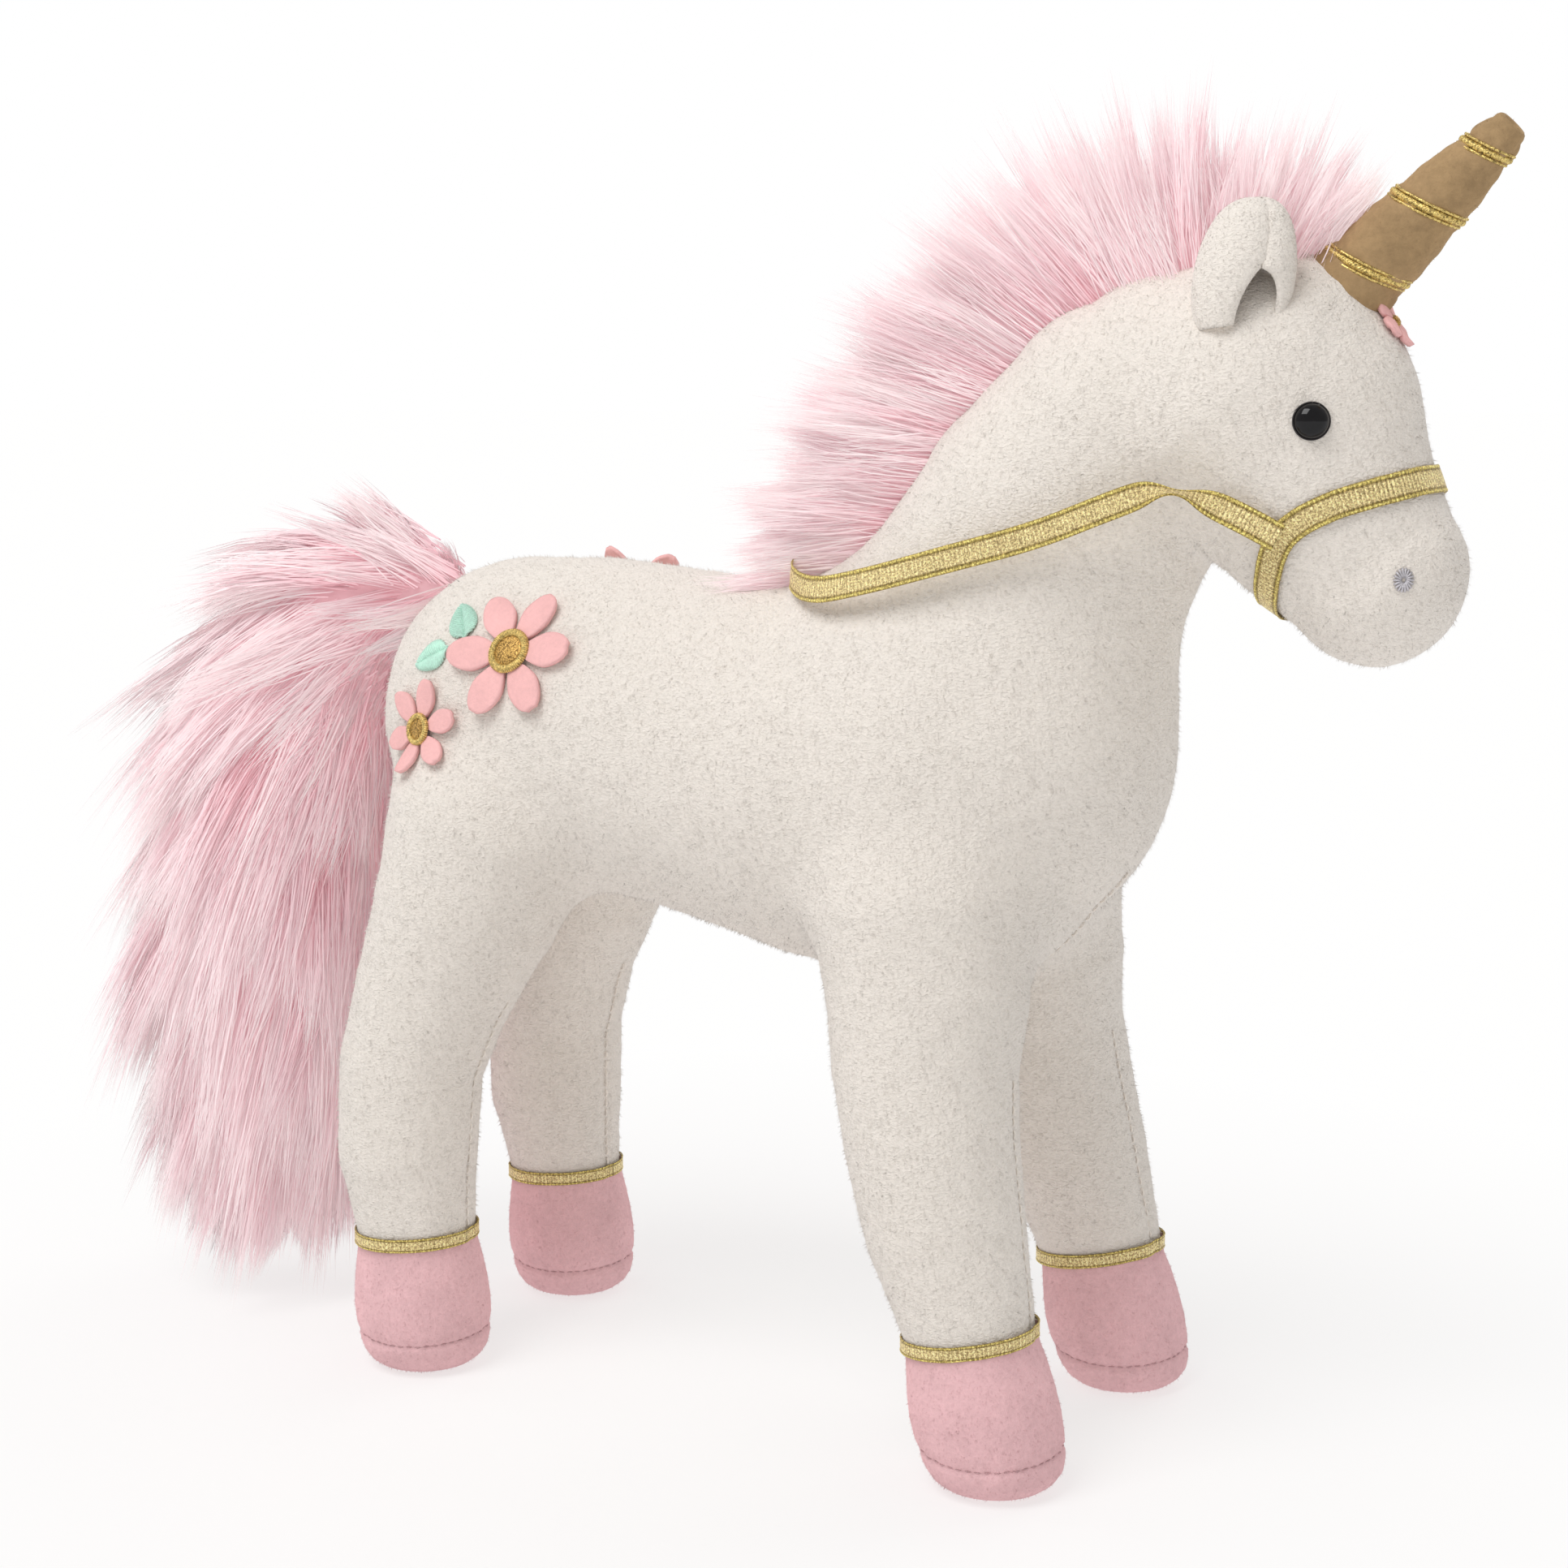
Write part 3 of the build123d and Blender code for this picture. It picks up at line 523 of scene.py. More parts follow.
def eye_material():
    """Polished black eye."""
    material, tree, shader = cloth("eye", (0.004, 0.004, 0.005), 0.07, 0.0)
    shader.inputs["Specular IOR Level"].default_value = 0.3
    haze = object_noise(tree, 300.0)
    tone = ramp(tree, haze.outputs["Fac"], [(0.3, (0.003, 0.003, 0.004)), (0.8, (0.007, 0.006, 0.007))])
    tree.links.new(tone.outputs["Color"], shader.inputs["Base Color"])
    return material


# ---------------------------------------------------------------- making meshes


def unit(v):
    """Vectors scaled to length one."""
    v = np.asarray(v, float)
    return v / np.maximum(np.linalg.norm(v, axis=-1, keepdims=True), 1e-9)


def distance_along(path):
    """Distance from the start of a path to each of its points."""
    return np.concatenate([[0], np.cumsum(np.linalg.norm(np.diff(path, axis=0), axis=1))])


def picked(at, distance, rows):
    """Rows read at the given distances along a path."""
    return np.stack([np.interp(at, distance, rows[:, i]) for i in range(3)], 1)


def tangents(path, closed=False):
    """Unit directions along a path."""
    return unit(np.roll(path, -1, 0) - np.roll(path, 1, 0) if closed else np.gradient(path, axis=0))


def full_turn(count):
    """Evenly spaced angles round a circle."""
    return np.arange(count) / count * 2 * math.pi


def quad_areas(corners):
    """Area of each quad from its four corners."""
    return np.linalg.norm(np.cross(corners[:, 2] - corners[:, 0], corners[:, 3] - corners[:, 1]), axis=1) / 2


def beside(place, sign):
    """A place given on the left side, moved to the side of that sign."""
    return np.array(place) * np.array([1, sign, 1])


def curve_through(points, step):
    """Evenly spaced points on a smooth curve through points, about a step apart."""
    p = np.asarray(points, float)
    p = np.concatenate([[2 * p[0] - p[1]], p, [2 * p[-1] - p[-2]]])
    t = np.linspace(0, 1, 24, endpoint=False)[:, None]
    rows = []
    for a, b, c, d in zip(p, p[1:], p[2:], p[3:]):
        rows.append(
            0.5 * (2 * b + (c - a) * t + (2 * a - 5 * b + 4 * c - d) * t**2 + (3 * b - a - 3 * c + d) * t**3)
        )
    dense = np.concatenate(rows + [p[-2:-1]])
    length = distance_along(dense)
    even = np.linspace(0, length[-1], max(2, int(length[-1] / step) + 1))
    return picked(even, length, dense)


def grid_faces(rows, columns, wrap_rows=False, wrap_columns=False):
    """Quads of a grid of vertices, row by row, joined round where it wraps."""
    r = np.arange(rows if wrap_rows else rows - 1)
    c = np.arange(columns if wrap_columns else columns - 1)
    r, c = np.meshgrid(r, c, indexing="ij")
    r2, c2 = (r + 1) % rows, (c + 1) % columns
    return np.stack(
        [r * columns + c, r * columns + c2, r2 * columns + c2, r2 * columns + c], -1
    ).reshape(-1, 4)


def joined(parts):
    """One vertex and face list from several."""
    verts, faces, start = [], [], 0
    for v, f in parts:
        verts.append(v)
        faces.extend([g + start for g in (f if isinstance(f, list) else [f])])
        start += len(v)
    by_size = {}
    for f in faces:
        by_size.setdefault(f.shape[1], []).append(f)
    return np.concatenate(verts), [np.concatenate(f) for f in by_size.values()]


def tube(path, radius, sides=8, closed=False, up=UP):
    """Tube along points; radius is a number or one for each point. Its open ends are rounded off."""
    path = np.asarray(path, float)
    radius = np.broadcast_to(radius, len(path)).astype(float)
    tangent = tangents(path, closed)
    side = unit(np.cross(tangent, up) + 1e-6)
    top = np.cross(side, tangent)
    turn = full_turn(sides)
    ring = path[:, None] + radius[:, None, None] * (
        np.cos(turn)[None, :, None] * side[:, None] + np.sin(turn)[None, :, None] * top[:, None]
    )
    verts = ring.reshape(-1, 3)
    faces = grid_faces(len(path), sides, closed, True)
    if closed:
        return verts, faces
    ends = np.stack([path[0] - tangent[0] * radius[0] * 0.6, path[-1] + tangent[-1] * radius[-1] * 0.6])
    first, last = len(verts), len(verts) + 1
    k = np.arange(sides)
    low = np.stack([np.full(sides, first), (k + 1) % sides, k], 1)
    base = (len(path) - 1) * sides
    high = np.stack([np.full(sides, last), base + k, base + (k + 1) % sides], 1)
    return np.concatenate([verts, ends]), [faces, low, high]


def turned(profile, origin, axis, around, count=48, wobble=None):
    """Surface turned from (distance along axis, radius) rows; closed at rows of no radius."""
    axis, around = unit(axis), unit(around)
    other = np.cross(axis, around)
    turn = full_turn(count)
    profile = np.asarray(profile, float)
    radius = np.repeat(profile[:, 1:2], count, 1)
    if wobble is not None:
        radius = radius + wobble(profile[:, 0:1], turn[None])
    rows = (
        np.asarray(origin, float)
        + profile[:, 0][:, None, None] * axis
        + radius[:, :, None] * (np.cos(turn)[None, :, None] * around + np.sin(turn)[None, :, None] * other)
    )
    return rows.reshape(-1, 3), grid_faces(len(profile), count, False, True)


def sheet_solid(centre, normal, half, rows, columns, taper=None):
    """Closed thin solid about a grid of points, half its thickness to each side, thinner at the rim."""
    half = np.broadcast_to(half, len(centre)).astype(float)
    if taper is not None:
        half = half * taper
    top = centre + normal * half[:, None]
    low = centre - normal * half[:, None]
    faces = grid_faces(rows, columns)
    n = rows * columns
    index = np.arange(n).reshape(rows, columns)
    rim = np.concatenate([index[0, :], index[1:, -1], index[-1, -2::-1], index[-2:0:-1, 0]])
    nxt = np.roll(rim, -1)
    skirt = np.stack([rim, rim + n, nxt + n, nxt], 1)
    return np.concatenate([top, low]), [faces, faces[:, ::-1] + n, skirt]


class Skin:
    """The whole body's surface, for laying things on it."""

    verts = None
    quads = None
    normals = None
    tree = None


def lay(points):
    """Nearest points of the body's surface and the normals there."""
    places, normals = [], []
    for p in np.asarray(points, float):
        place, _, index, _ = Skin.tree.find_nearest(Vector(p))
        quad = Skin.quads[index]
        places.append(np.array(place))
        normals.append(unit(Skin.normals[quad].mean(0)))
    return np.array(places), np.array(normals)


def random_rows(rng, count):
    """Random vectors, each number from -1 to 1."""
    return rng.uniform(-1, 1, (count, 3))


def facing(rows, side, out):
    """The side direction turned so that flat hairs show their front to the outside."""
    tangent = rows[:, -1] - rows[:, 0]
    seen = np.sum(np.cross(side, tangent) * out, axis=1, keepdims=True)
    return np.where(seen < 0, -side, side)


def blades(verts, faces, normals, per_mm2, length, width, comb, rng):
    """Short pile: one thin triangle for each hair, standing on a surface and combed one way."""
    corners = verts[faces]
    count = rng.poisson(quad_areas(corners) * per_mm2)
    pick = np.repeat(np.arange(len(faces)), count)
    u, v = rng.random((2, len(pick), 1))
    c = corners[pick]
    base = c[:, 0] * (1 - u) * (1 - v) + c[:, 1] * u * (1 - v) + c[:, 2] * u * v + c[:, 3] * (1 - u) * v
    up = unit(normals[faces[pick]].mean(1))
    lie = unit(comb - up * np.sum(comb * up, 1, keepdims=True))
    way = unit(up * 0.55 + lie * 0.75 + 0.42 * random_rows(rng, len(pick)))
    reach = length * rng.uniform(0.6, 1.25, (len(pick), 1))
    side = unit(np.cross(way, up + 0.3 * random_rows(rng, len(pick)))) * width / 2
    side = facing(np.stack([base, base + way], 1), side, up)
    rows = np.stack([base - side - up * 0.2, base + side - up * 0.2, base + way * reach], 1)
    tris = np.arange(len(pick) * 3).reshape(-1, 3)
    return rows.reshape(-1, 3), tris, np.repeat(unit(up + 0.22 * random_rows(rng, len(pick))), 3, 0)


def piled_mesh(name, ground, hair, material):
    """Mesh object of a surface with the hair that stands on it; each is vertices, faces and normals."""
    verts, faces, normals = ground
    hair_verts, hair_faces, hair_normals = hair
    faces = [faces, hair_faces + len(verts)]
    normals = np.concatenate([normals, hair_normals])
    return make_mesh(name, np.concatenate([verts, hair_verts]), faces, material, normals)


def cut_out(keep):
    """The chosen quads of the whole skin as their own vertices, faces and normals."""
    faces = Skin.quads[keep]
    used, index = np.unique(faces, return_inverse=True)
    return Skin.verts[used], index.reshape(-1, 4), Skin.normals[used]


def strands(
    roots, normals, flows, lengths, per_tuft, spread, width, rng, lift=0.5, loose=0.2, pinch=0.16, pale=0.5
):
    """Long fur in locks: tapered flat hairs that stand up, then draw together at the lock's tip."""
    count = len(roots)
    k = np.repeat(np.arange(count), per_tuft)
    total = len(k)
    out = unit(normals)
    first = unit(out[k] * lift + flows[k] + 0.12 * random_rows(rng, total))
    last = unit(flows[k] + np.repeat(loose * random_rows(rng, count), per_tuft, 0))
    last = unit(last + 0.08 * random_rows(rng, total))
    offset = random_rows(rng, total) * np.repeat(rng.uniform(0.6, 1.2, (count, 1)), per_tuft, 0) * spread
    offset -= out[k] * np.sum(offset * out[k], 1, keepdims=True)
    inner = 1 - np.linalg.norm(offset, axis=1) / (2.2 * spread)
    reach = (lengths[k] * rng.uniform(0.55, 0.85, total) * (0.75 + 0.6 * inner))[:, None]
    steps = np.array([0.0, 0.32, 0.64, 1.0])
    rows = []
    for t in steps:
        curve = first * (t - 0.5 * t * t) + last * (0.5 * t * t)
        rows.append(roots[k] + reach * curve + offset * ((1 - t) ** 0.8 + pinch * t))
    rows = np.stack(rows, 1)
    tangent = unit(np.gradient(rows, axis=1))
    front = unit(
        out[k] * np.array([0.5, 1.0, 0.6]) + 0.3 * np.sign(out[k][:, 1:2]) * np.array([0.0, 1.0, 0.0])
    )
    side = unit(np.cross(tangent.mean(1), front + 0.75 * random_rows(rng, total)))
    side = facing(rows, side, front)[:, None]
    thin = (width * rng.uniform(0.7, 1.3, total))[:, None, None] * np.array([1, 0.95, 0.7])[None, :, None]
    left = rows[:, :3] - side * thin / 2
    right = rows[:, :3] + side * thin / 2
    verts = np.concatenate([np.stack([left, right], 2).reshape(total, 6, 3), rows[:, 3:4]], 1)
    pattern = np.array([[0, 1, 3], [0, 3, 2], [2, 3, 5], [2, 5, 4], [4, 5, 6]])
    faces = (np.arange(total)[:, None, None] * 7 + pattern).reshape(-1, 3)
    soft = unit(out[k] + 0.15 * random_rows(rng, total))[:, None]
    along = np.concatenate([np.repeat(tangent[:, :3], 2, 1), tangent[:, 3:4]], 1)
    shading = unit(soft - 0.4 * along * np.sum(soft * along, 2, keepdims=True))
    tone = np.repeat(rng.random(count), per_tuft) * 0.6 + rng.random(total) * 0.4
    data = np.zeros((total, 7, 4), np.float32)
    data[:, :, 0] = np.array([0, 0, 0.32, 0.32, 0.64, 0.64, 1.0])[None]
    data[:, :, 1] = tone[:, None]
    data[:, :, 2] = np.clip(pale + np.repeat(rng.uniform(-0.4, 0.4, count), per_tuft), 0, 1)[:, None]
    data[:, :, 3] = 1
    return verts.reshape(-1, 3), faces, shading.reshape(-1, 3), data.reshape(-1, 4), np.repeat(k, 7)


def colour_data(made, data):
    """Store fur data on a mesh: place along the hair, tone and paleness of its lock."""
    layer = made.data.color_attributes.new("fur", "FLOAT_COLOR", "POINT")
    layer.data.foreach_set("color", np.asarray(data, np.float32).ravel())


def ground_data(count, pale):
    """Fur data of the ground under the hair: close to the roots and even in tone."""
    return np.full((count, 4), (0.25, 0.6, pale, 1.0))


def core_mesh(chain, flat, step):
    """Surface of a run of balls, for the ground that fur stands on."""
    balls = np.array(chain, float)
    low = (balls[:, :3] - balls[:, 3:]).min(0) - 2 * step
    high = (balls[:, :3] + balls[:, 3:]).max(0) + 2 * step
    axes = [np.arange(low[i], high[i] + step, step) for i in range(3)]
    grid = np.stack(np.meshgrid(*axes, indexing="ij"), -1).reshape(-1, 3).astype(np.float32)
    field = chain_distance(grid, chain, flat).reshape([len(a) for a in axes])
    verts, quads = surface_of(field, low, step)
    verts = relaxed(verts, quads, 2)
    return verts, quads, point_normals(verts, quads)


def chain_tangent(points, chain):
    """Direction of a run of balls beside each point."""
    balls = np.array(chain, float)[:, :3]
    middle = (balls[1:] + balls[:-1]) / 2
    way = unit(balls[1:] - balls[:-1])
    gap = np.linalg.norm(points[:, None] - middle[None], axis=2)
    weight = np.exp(-((gap / 16.0) ** 2)) + 1e-9
    return unit((weight[:, :, None] * way[None]).sum(1))


def scatter(verts, quads, normals, count, rng):
    """Random places on a surface, evenly by area, and the normals there."""
    corners = verts[quads]
    area = quad_areas(corners)
    pick = rng.choice(len(quads), count, p=area / area.sum())
    share = rng.random((count, 2, 1))
    c = corners[pick]
    low = c[:, 0] * (1 - share[:, 0]) + c[:, 1] * share[:, 0]
    high = c[:, 3] * (1 - share[:, 0]) + c[:, 2] * share[:, 0]
    return low * (1 - share[:, 1]) + high * share[:, 1], unit(normals[quads[pick]].mean(1))


# ---------------------------------------------------------------- seams


def leg_seam(end, side, face):
    """Points down the front or back of a leg, on its surface."""
    chain = np.array(LEG_CHAIN[end], float)
    chain[:, 1] *= SIGN[side]
    return [c[:3] + np.array([face * c[3], -0.12 * SIGN[side] * c[3], 0]) for c in chain[2:]]


def head_seam(side):
    """Points of the seam that joins head and neck, on one side."""
    line = [
        (156, 8, 318), (155, 22, 308), (150, 30, 296), (144.5, 34, 284), (143, 34, 272), (147, 28, 258),
        (152, 14, 246), (154, 0, 242),
    ]
    return [(x, y * SIGN[side], z) for x, y, z in line]


def seams():
    """Every visible seam: name, the body it goes with, and its points."""
    rows = []
    for side in ("right", "left"):
        rows.append((f"head_seam_{side}", "head", head_seam(side)))
    for end, side in LEGS:
        for face, word in ((1, "front"), (-1, "back")):
            rows.append((f"leg_{end}_{side}_{word}_seam", f"leg_{end}_{side}", leg_seam(end, side, face)))
    belly = [
        (-50, 0, 140), (-20, 0, 135), (10, 0, 130), (40, 0, 124), (70, 0, 121), (100, 0, 136), (124, 0, 158)
    ]
    rows.append(("belly_seam", "torso", belly))
    return rows


def groove(verts, normals, line, width, depth):
    """Surface drawn in along a line."""
    near = np.full(len(verts), 1e6)
    low, high = line.min(0) - 3 * width, line.max(0) + 3 * width
    here = np.where(np.all((verts > low) & (verts < high), axis=1))[0]
    for point in line:
        near[here] = np.minimum(near[here], np.linalg.norm(verts[here] - point, axis=1))
    return verts - normals * (depth * np.exp(-((near / width) ** 2)))[:, None]


def stitch_row(line, normals, pitch=3.2, length=2.1, radius=0.3, lift=-0.25):
    """Row of short thread dashes along a line of surface points."""
    parts = []
    distance = distance_along(line)
    for start in np.arange(pitch / 2, distance[-1] - length, pitch):
        at = np.linspace(start, start + length, 5)
        path, up = picked(at, distance, line), picked(at, distance, normals)
        rise = lift + 0.35 * np.sin(np.linspace(0, math.pi, 5))
        parts.append(tube(path + unit(up) * rise[:, None], radius, 6, up=unit(up)[2]))
    return joined(parts)


# ---------------------------------------------------------------- attaching


def attach(made, body, nodes):
    """Let a piece ride on its body's empty, or for the neck, the poll and the legs keep it unparented with
    its transform applied; hide the CAD nodes it stands for.
    """
    if body == "neck":
        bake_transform(made)
    elif body == "poll":
        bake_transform(made)
    elif body.startswith("leg_"):
        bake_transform(made)
    else:
        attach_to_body(made, body)
    if nodes:
        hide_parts(*nodes)


# ---------------------------------------------------------------- settings


class UnicornSizes(PropertyGroup):
    """Sizes that change the look without moving a joint."""

    fuzz_length: FloatProperty(
        name="Fuzz length", description="Length of the short white pile", default=1.3 * MM, unit="LENGTH"
    )
    fuzz_density: FloatProperty(
        name="Fuzz density", description="Hairs of short pile on each square millimetre", default=0.7, min=0.0
    )
    ribbon_width: FloatProperty(
        name="Ribbon width", description="Width of noseband and reins", default=REIN_WIDTH * MM, unit="LENGTH"
    )
    mane_length: FloatProperty(
        name="Mane length",
        description="Length of the mane, whose default leaves the comb as it is given",
        default=MANE_LENGTH * MM,
        unit="LENGTH",
    )
    tail_length: FloatProperty(
        name="Tail hair length", description="Length of the tail's hair", default=80 * MM, unit="LENGTH"
    )
    tail_tufts: IntProperty(name="Tail tufts", description="Number of locks in the tail", default=600, min=10)
    mane_tufts: IntProperty(name="Mane tufts", description="Number of locks in the mane", default=250, min=10)


class UnicornColours(PropertyGroup):
    """Colours of the cloths, fur and thread."""

    plush: FloatVectorProperty(
        name="Plush", description="White pile", subtype="COLOR", default=(0.90, 0.835, 0.765)
    )
    fur_root: FloatVectorProperty(
        name="Fur roots", description="Fur at its roots", subtype="COLOR", default=(0.84, 0.48, 0.53)
    )
    fur_tip: FloatVectorProperty(
        name="Fur tips", description="Fur at its tips", subtype="COLOR", default=(0.90, 0.73, 0.755)
    )
    velour: FloatVectorProperty(
        name="Velour", description="Hoof cloth", subtype="COLOR", default=(0.80, 0.50, 0.52)
    )
    felt: FloatVectorProperty(
        name="Felt", description="Flower petals", subtype="COLOR", default=(0.88, 0.50, 0.49)
    )
    gold: FloatVectorProperty(
        name="Gold", description="Ribbon and braid", subtype="COLOR", default=(0.76, 0.56, 0.20)
    )
    suede: FloatVectorProperty(
        name="Suede", description="Horn cover", subtype="COLOR", default=(0.37, 0.245, 0.125)
    )
    mint: FloatVectorProperty(
        name="Mint", description="Leaf thread", subtype="COLOR", default=(0.50, 0.76, 0.64)
    )


def lamp(name, place, size, power):
    """Large soft area lamp aimed at the toy."""
    light = bpy.data.lights.new(name, "AREA")
    light.size = size
    light.energy = power
    made = bpy.data.objects.new(name, light)
    made.location = place
    made.rotation_euler = (LAMP_AIM - Vector(place)).to_track_quat("-Z", "Y").to_euler()
    bpy.context.scene.collection.objects.link(made)


def lay_floor():
    """Pale studio sweep: plain floor round the toy that brightens to the white of the backdrop."""
    material, tree, shader = cloth("floor", (0.9, 0.9, 0.9), 0.45, 0.0)
    grain = object_noise(tree, 3.0)
    tone = ramp(tree, grain.outputs["Fac"], [(0.3, (0.9, 0.875, 0.87)), (0.7, (0.905, 0.88, 0.875))])
    tree.links.new(tone.outputs["Color"], shader.inputs["Base Color"])
    place = node(tree, "ShaderNodeTexCoord")
    reach = node(tree, "ShaderNodeVectorMath", operation="LENGTH")
    tree.links.new(place.outputs["Object"], reach.inputs[0])
    share = node(tree, "ShaderNodeMapRange")
    share.inputs["From Min"].default_value, share.inputs["From Max"].default_value = FLOOR_GLOW
    share.inputs["To Min"].default_value = 0.64
    tree.links.new(reach.outputs["Value"], share.inputs["Value"])
    glow = node(tree, "ShaderNodeEmission")
    glow.inputs["Color"].default_value = (1.0, 0.998, 0.995, 1)
    mixed = node(tree, "ShaderNodeMixShader")
    tree.links.new(share.outputs["Result"], mixed.inputs[0])
    tree.links.new(shader.outputs["BSDF"], mixed.inputs[1])
    tree.links.new(glow.outputs["Emission"], mixed.inputs[2])
    tree.links.new(mixed.outputs["Shader"], tree.nodes["Material Output"].inputs["Surface"])
    verts = [(x * FLOOR_HALF, y * FLOOR_HALF, 0) for x, y in ((-1, -1), (1, -1), (1, 1), (-1, 1))]
    make_mesh("floor", verts, np.array([[0, 1, 2, 3]]), material)


def light_world():
    """Soft even light that the camera sees as plain white."""
    world = bpy.data.worlds.new("studio")
    world.use_nodes = True
    tree = world.node_tree
    soft = tree.nodes["Background"]
    soft.inputs["Color"].default_value = (1, 0.985, 0.97, 1)
    soft.inputs["Strength"].default_value = 0.5
    white = node(tree, "ShaderNodeBackground")
    white.inputs["Color"].default_value = (1, 1, 1, 1)
    path = node(tree, "ShaderNodeLightPath")
    mixed = node(tree, "ShaderNodeMixShader")
    tree.links.new(path.outputs["Is Camera Ray"], mixed.inputs[0])
    tree.links.new(soft.outputs["Background"], mixed.inputs[1])
    tree.links.new(white.outputs["Background"], mixed.inputs[2])
    tree.links.new(mixed.outputs["Shader"], tree.nodes["World Output"].inputs["Surface"])
    bpy.context.scene.world = world


class UNICORN_OT_stage(Operator):
    """Lay the pale floor and set the soft lights and the camera"""

    bl_idname = "unicorn.stage"
    bl_label = "Stage"

    def execute(self, context):
        camera = bpy.data.cameras.new("camera")
        camera.lens = CAMERA_LENS
        camera.sensor_width = 36.0
        made = bpy.data.objects.new("camera", camera)
        made.location = CAMERA_PLACE
        made.rotation_euler = (math.radians(CAMERA_TILT), 0, math.radians(CAMERA_TURN))
        context.scene.collection.objects.link(made)
        context.scene.camera = made
        light_world()
        context.scene.view_settings.view_transform = "Standard"
        for row in LAMPS:
            lamp(*row)
        lay_floor()
        return {"FINISHED"}


class UNICORN_OT_body(Operator):
    """Sew the white plush skins of torso, neck, head and legs, and stitch their seams"""

    bl_idname = "unicorn.body"
    bl_label = "White plush body"

    def execute(self, context):
        sizes = context.scene.unicorn_sizes
        colours = context.scene.unicorn_colours
        rng = np.random.default_rng(11)
        verts, quads = skin_mesh()
        normals = point_normals(verts, quads)
        Skin.verts, Skin.quads, Skin.normals = verts, quads, normals
        Skin.tree = BVHTree.FromPolygons(verts.tolist(), quads.tolist())
        lines = []
        for name, body, points in seams():
            place, up = lay(curve_through(points, 0.8))
            lines.append((name, body, place, up))
            verts = groove(verts, normals, place, SEAM_WIDTH, SEAM_DEPTH)
        ripple = np.array(
            [noise.noise(Vector(v * 0.16)) * 0.45 + noise.noise(Vector(v * 0.05)) * 0.9 for v in verts]
        )
        verts = verts + normals * ripple[:, None] * RIPPLE_DEPTH
        Skin.verts, Skin.normals = verts, point_normals(verts, quads)
        Skin.tree = BVHTree.FromPolygons(verts.tolist(), quads.tolist())
        plush = plush_material()
        thread = woven("white thread", tuple(colours.plush), 1800.0, 0.7)
        for name, body, nodes, keep in skin_pieces():
            ground = cut_out(keep)
            comb = np.array([[-0.5, 0.0, -0.8]])
            hair = blades(*ground, sizes.fuzz_density, sizes.fuzz_length / MM, PLUSH_HAIR_WIDTH, comb, rng)
            made = piled_mesh(name, ground, hair, plush)
            attach(made, body, nodes)
        for name, body, place, up in lines:
            if body == "head":
                continue
            made = make_mesh(name, *stitch_row(place, up), thread)
            attach(made, body, [])
        return {"FINISHED"}


def skin_pieces():
    """The body's skins: piece name, body it goes with, CAD nodes it stands for and which quads."""
    middle = Skin.verts[Skin.quads].mean(1)
    up_neck = (middle - NECK_ROOT) @ NECK_DIR > 0
    owner = np.where(up_neck, 1 + poll_share(middle), 0)
    for index, (end, side) in enumerate(LEGS):
        ahead = middle[:, 0] > 0 if end == "front" else middle[:, 0] < 0
        here = ahead & (middle[:, 1] * SIGN[side] > 0) & (middle[:, 2] < LEG_CUT[end])
        owner[here] = 4 + index
    rows = [
        ("torso_plush", "torso", ["torso_skin_right", "torso_skin_left", "torso_stuffing"], owner == 0),
        ("neck_plush", "neck", ["neck_skin_right", "neck_skin_left", "neck_stuffing"], owner == 1),
        ("throat_plush", "poll", [], owner == 2),
        (
            "head_plush", "head", ["head_skin_right", "head_skin_left", "head_stuffing", "eye_washers"],
            owner == 3,
        ),
    ]
    for index, (end, side) in enumerate(LEGS):
        leg = f"leg_{end}_{side}"
        rows.append((f"{leg}_plush", leg, [f"{leg}_skin", f"{leg}_stuffing"], owner == 4 + index))
    return rows


class UNICORN_OT_hooves(Operator):
    """Make the pink velour hooves with their padded soles and gold ankle ribbons"""

    bl_idname = "unicorn.hooves"
    bl_label = "Hooves"

    def execute(self, context):
        colours = context.scene.unicorn_colours
        rng = np.random.default_rng(5)
        velour = woven(
            "pink velour", tuple(colours.velour), 700.0, 0.95, contrast=0.10, sheen=0.7, depth=0.0006
        )
        thread = woven("pink thread", shade(tuple(colours.velour), 0.72), 1800.0, 0.7)
        ribbon = ribbon_material()
        for end, side in LEGS:
            leg = f"leg_{end}_{side}"
            verts, faces, line = hoof_mesh(end, SIGN[side])
            ground = (verts, faces, point_normals(verts, faces))
            hair = blades(*ground, *HOOF_PILE, np.array([[-0.3, 0.0, -0.9]]), rng)
            made = piled_mesh(f"{leg}_hoof", ground, hair, velour)
            nodes = [f"{leg}_hoof_cover", f"{leg}_sole", f"{leg}_bean_pouch"]
            attach(made, leg, nodes)
            out = unit(line - line.mean(0))
            made = make_mesh(f"{leg}_sole_stitches", *stitch_row(line, out, 2.6, 1.5, 0.22, -0.1), thread)
            attach(made, leg, [])
            path, across = ankle_path(end, SIGN[side])
            made = ribbon_strip(f"{leg}_ankle_ribbon", path, across, ANKLE_RIBBON_WIDTH, ribbon, closed=True)
            attach(made, leg, [f"{leg}_ribbon"])
        return {"FINISHED"}


def ankle_line(end, sign, share):
    """Middle of the leg and hoof between the floor (0) and the ankle (1)."""
    hoof_x, hoof_y = HOOF[end]
    foot = np.array([hoof_x, hoof_y * sign])
    x, y = LEG_CHAIN[end][-1][:2]
    top = np.array([x, y * sign])
    return foot + (top - foot) * share


def ankle_tilt(end):
    """How far the ribbon's front stands above its back, for each millimetre along the leg."""
    return 0.16 if end == "front" else 0.05


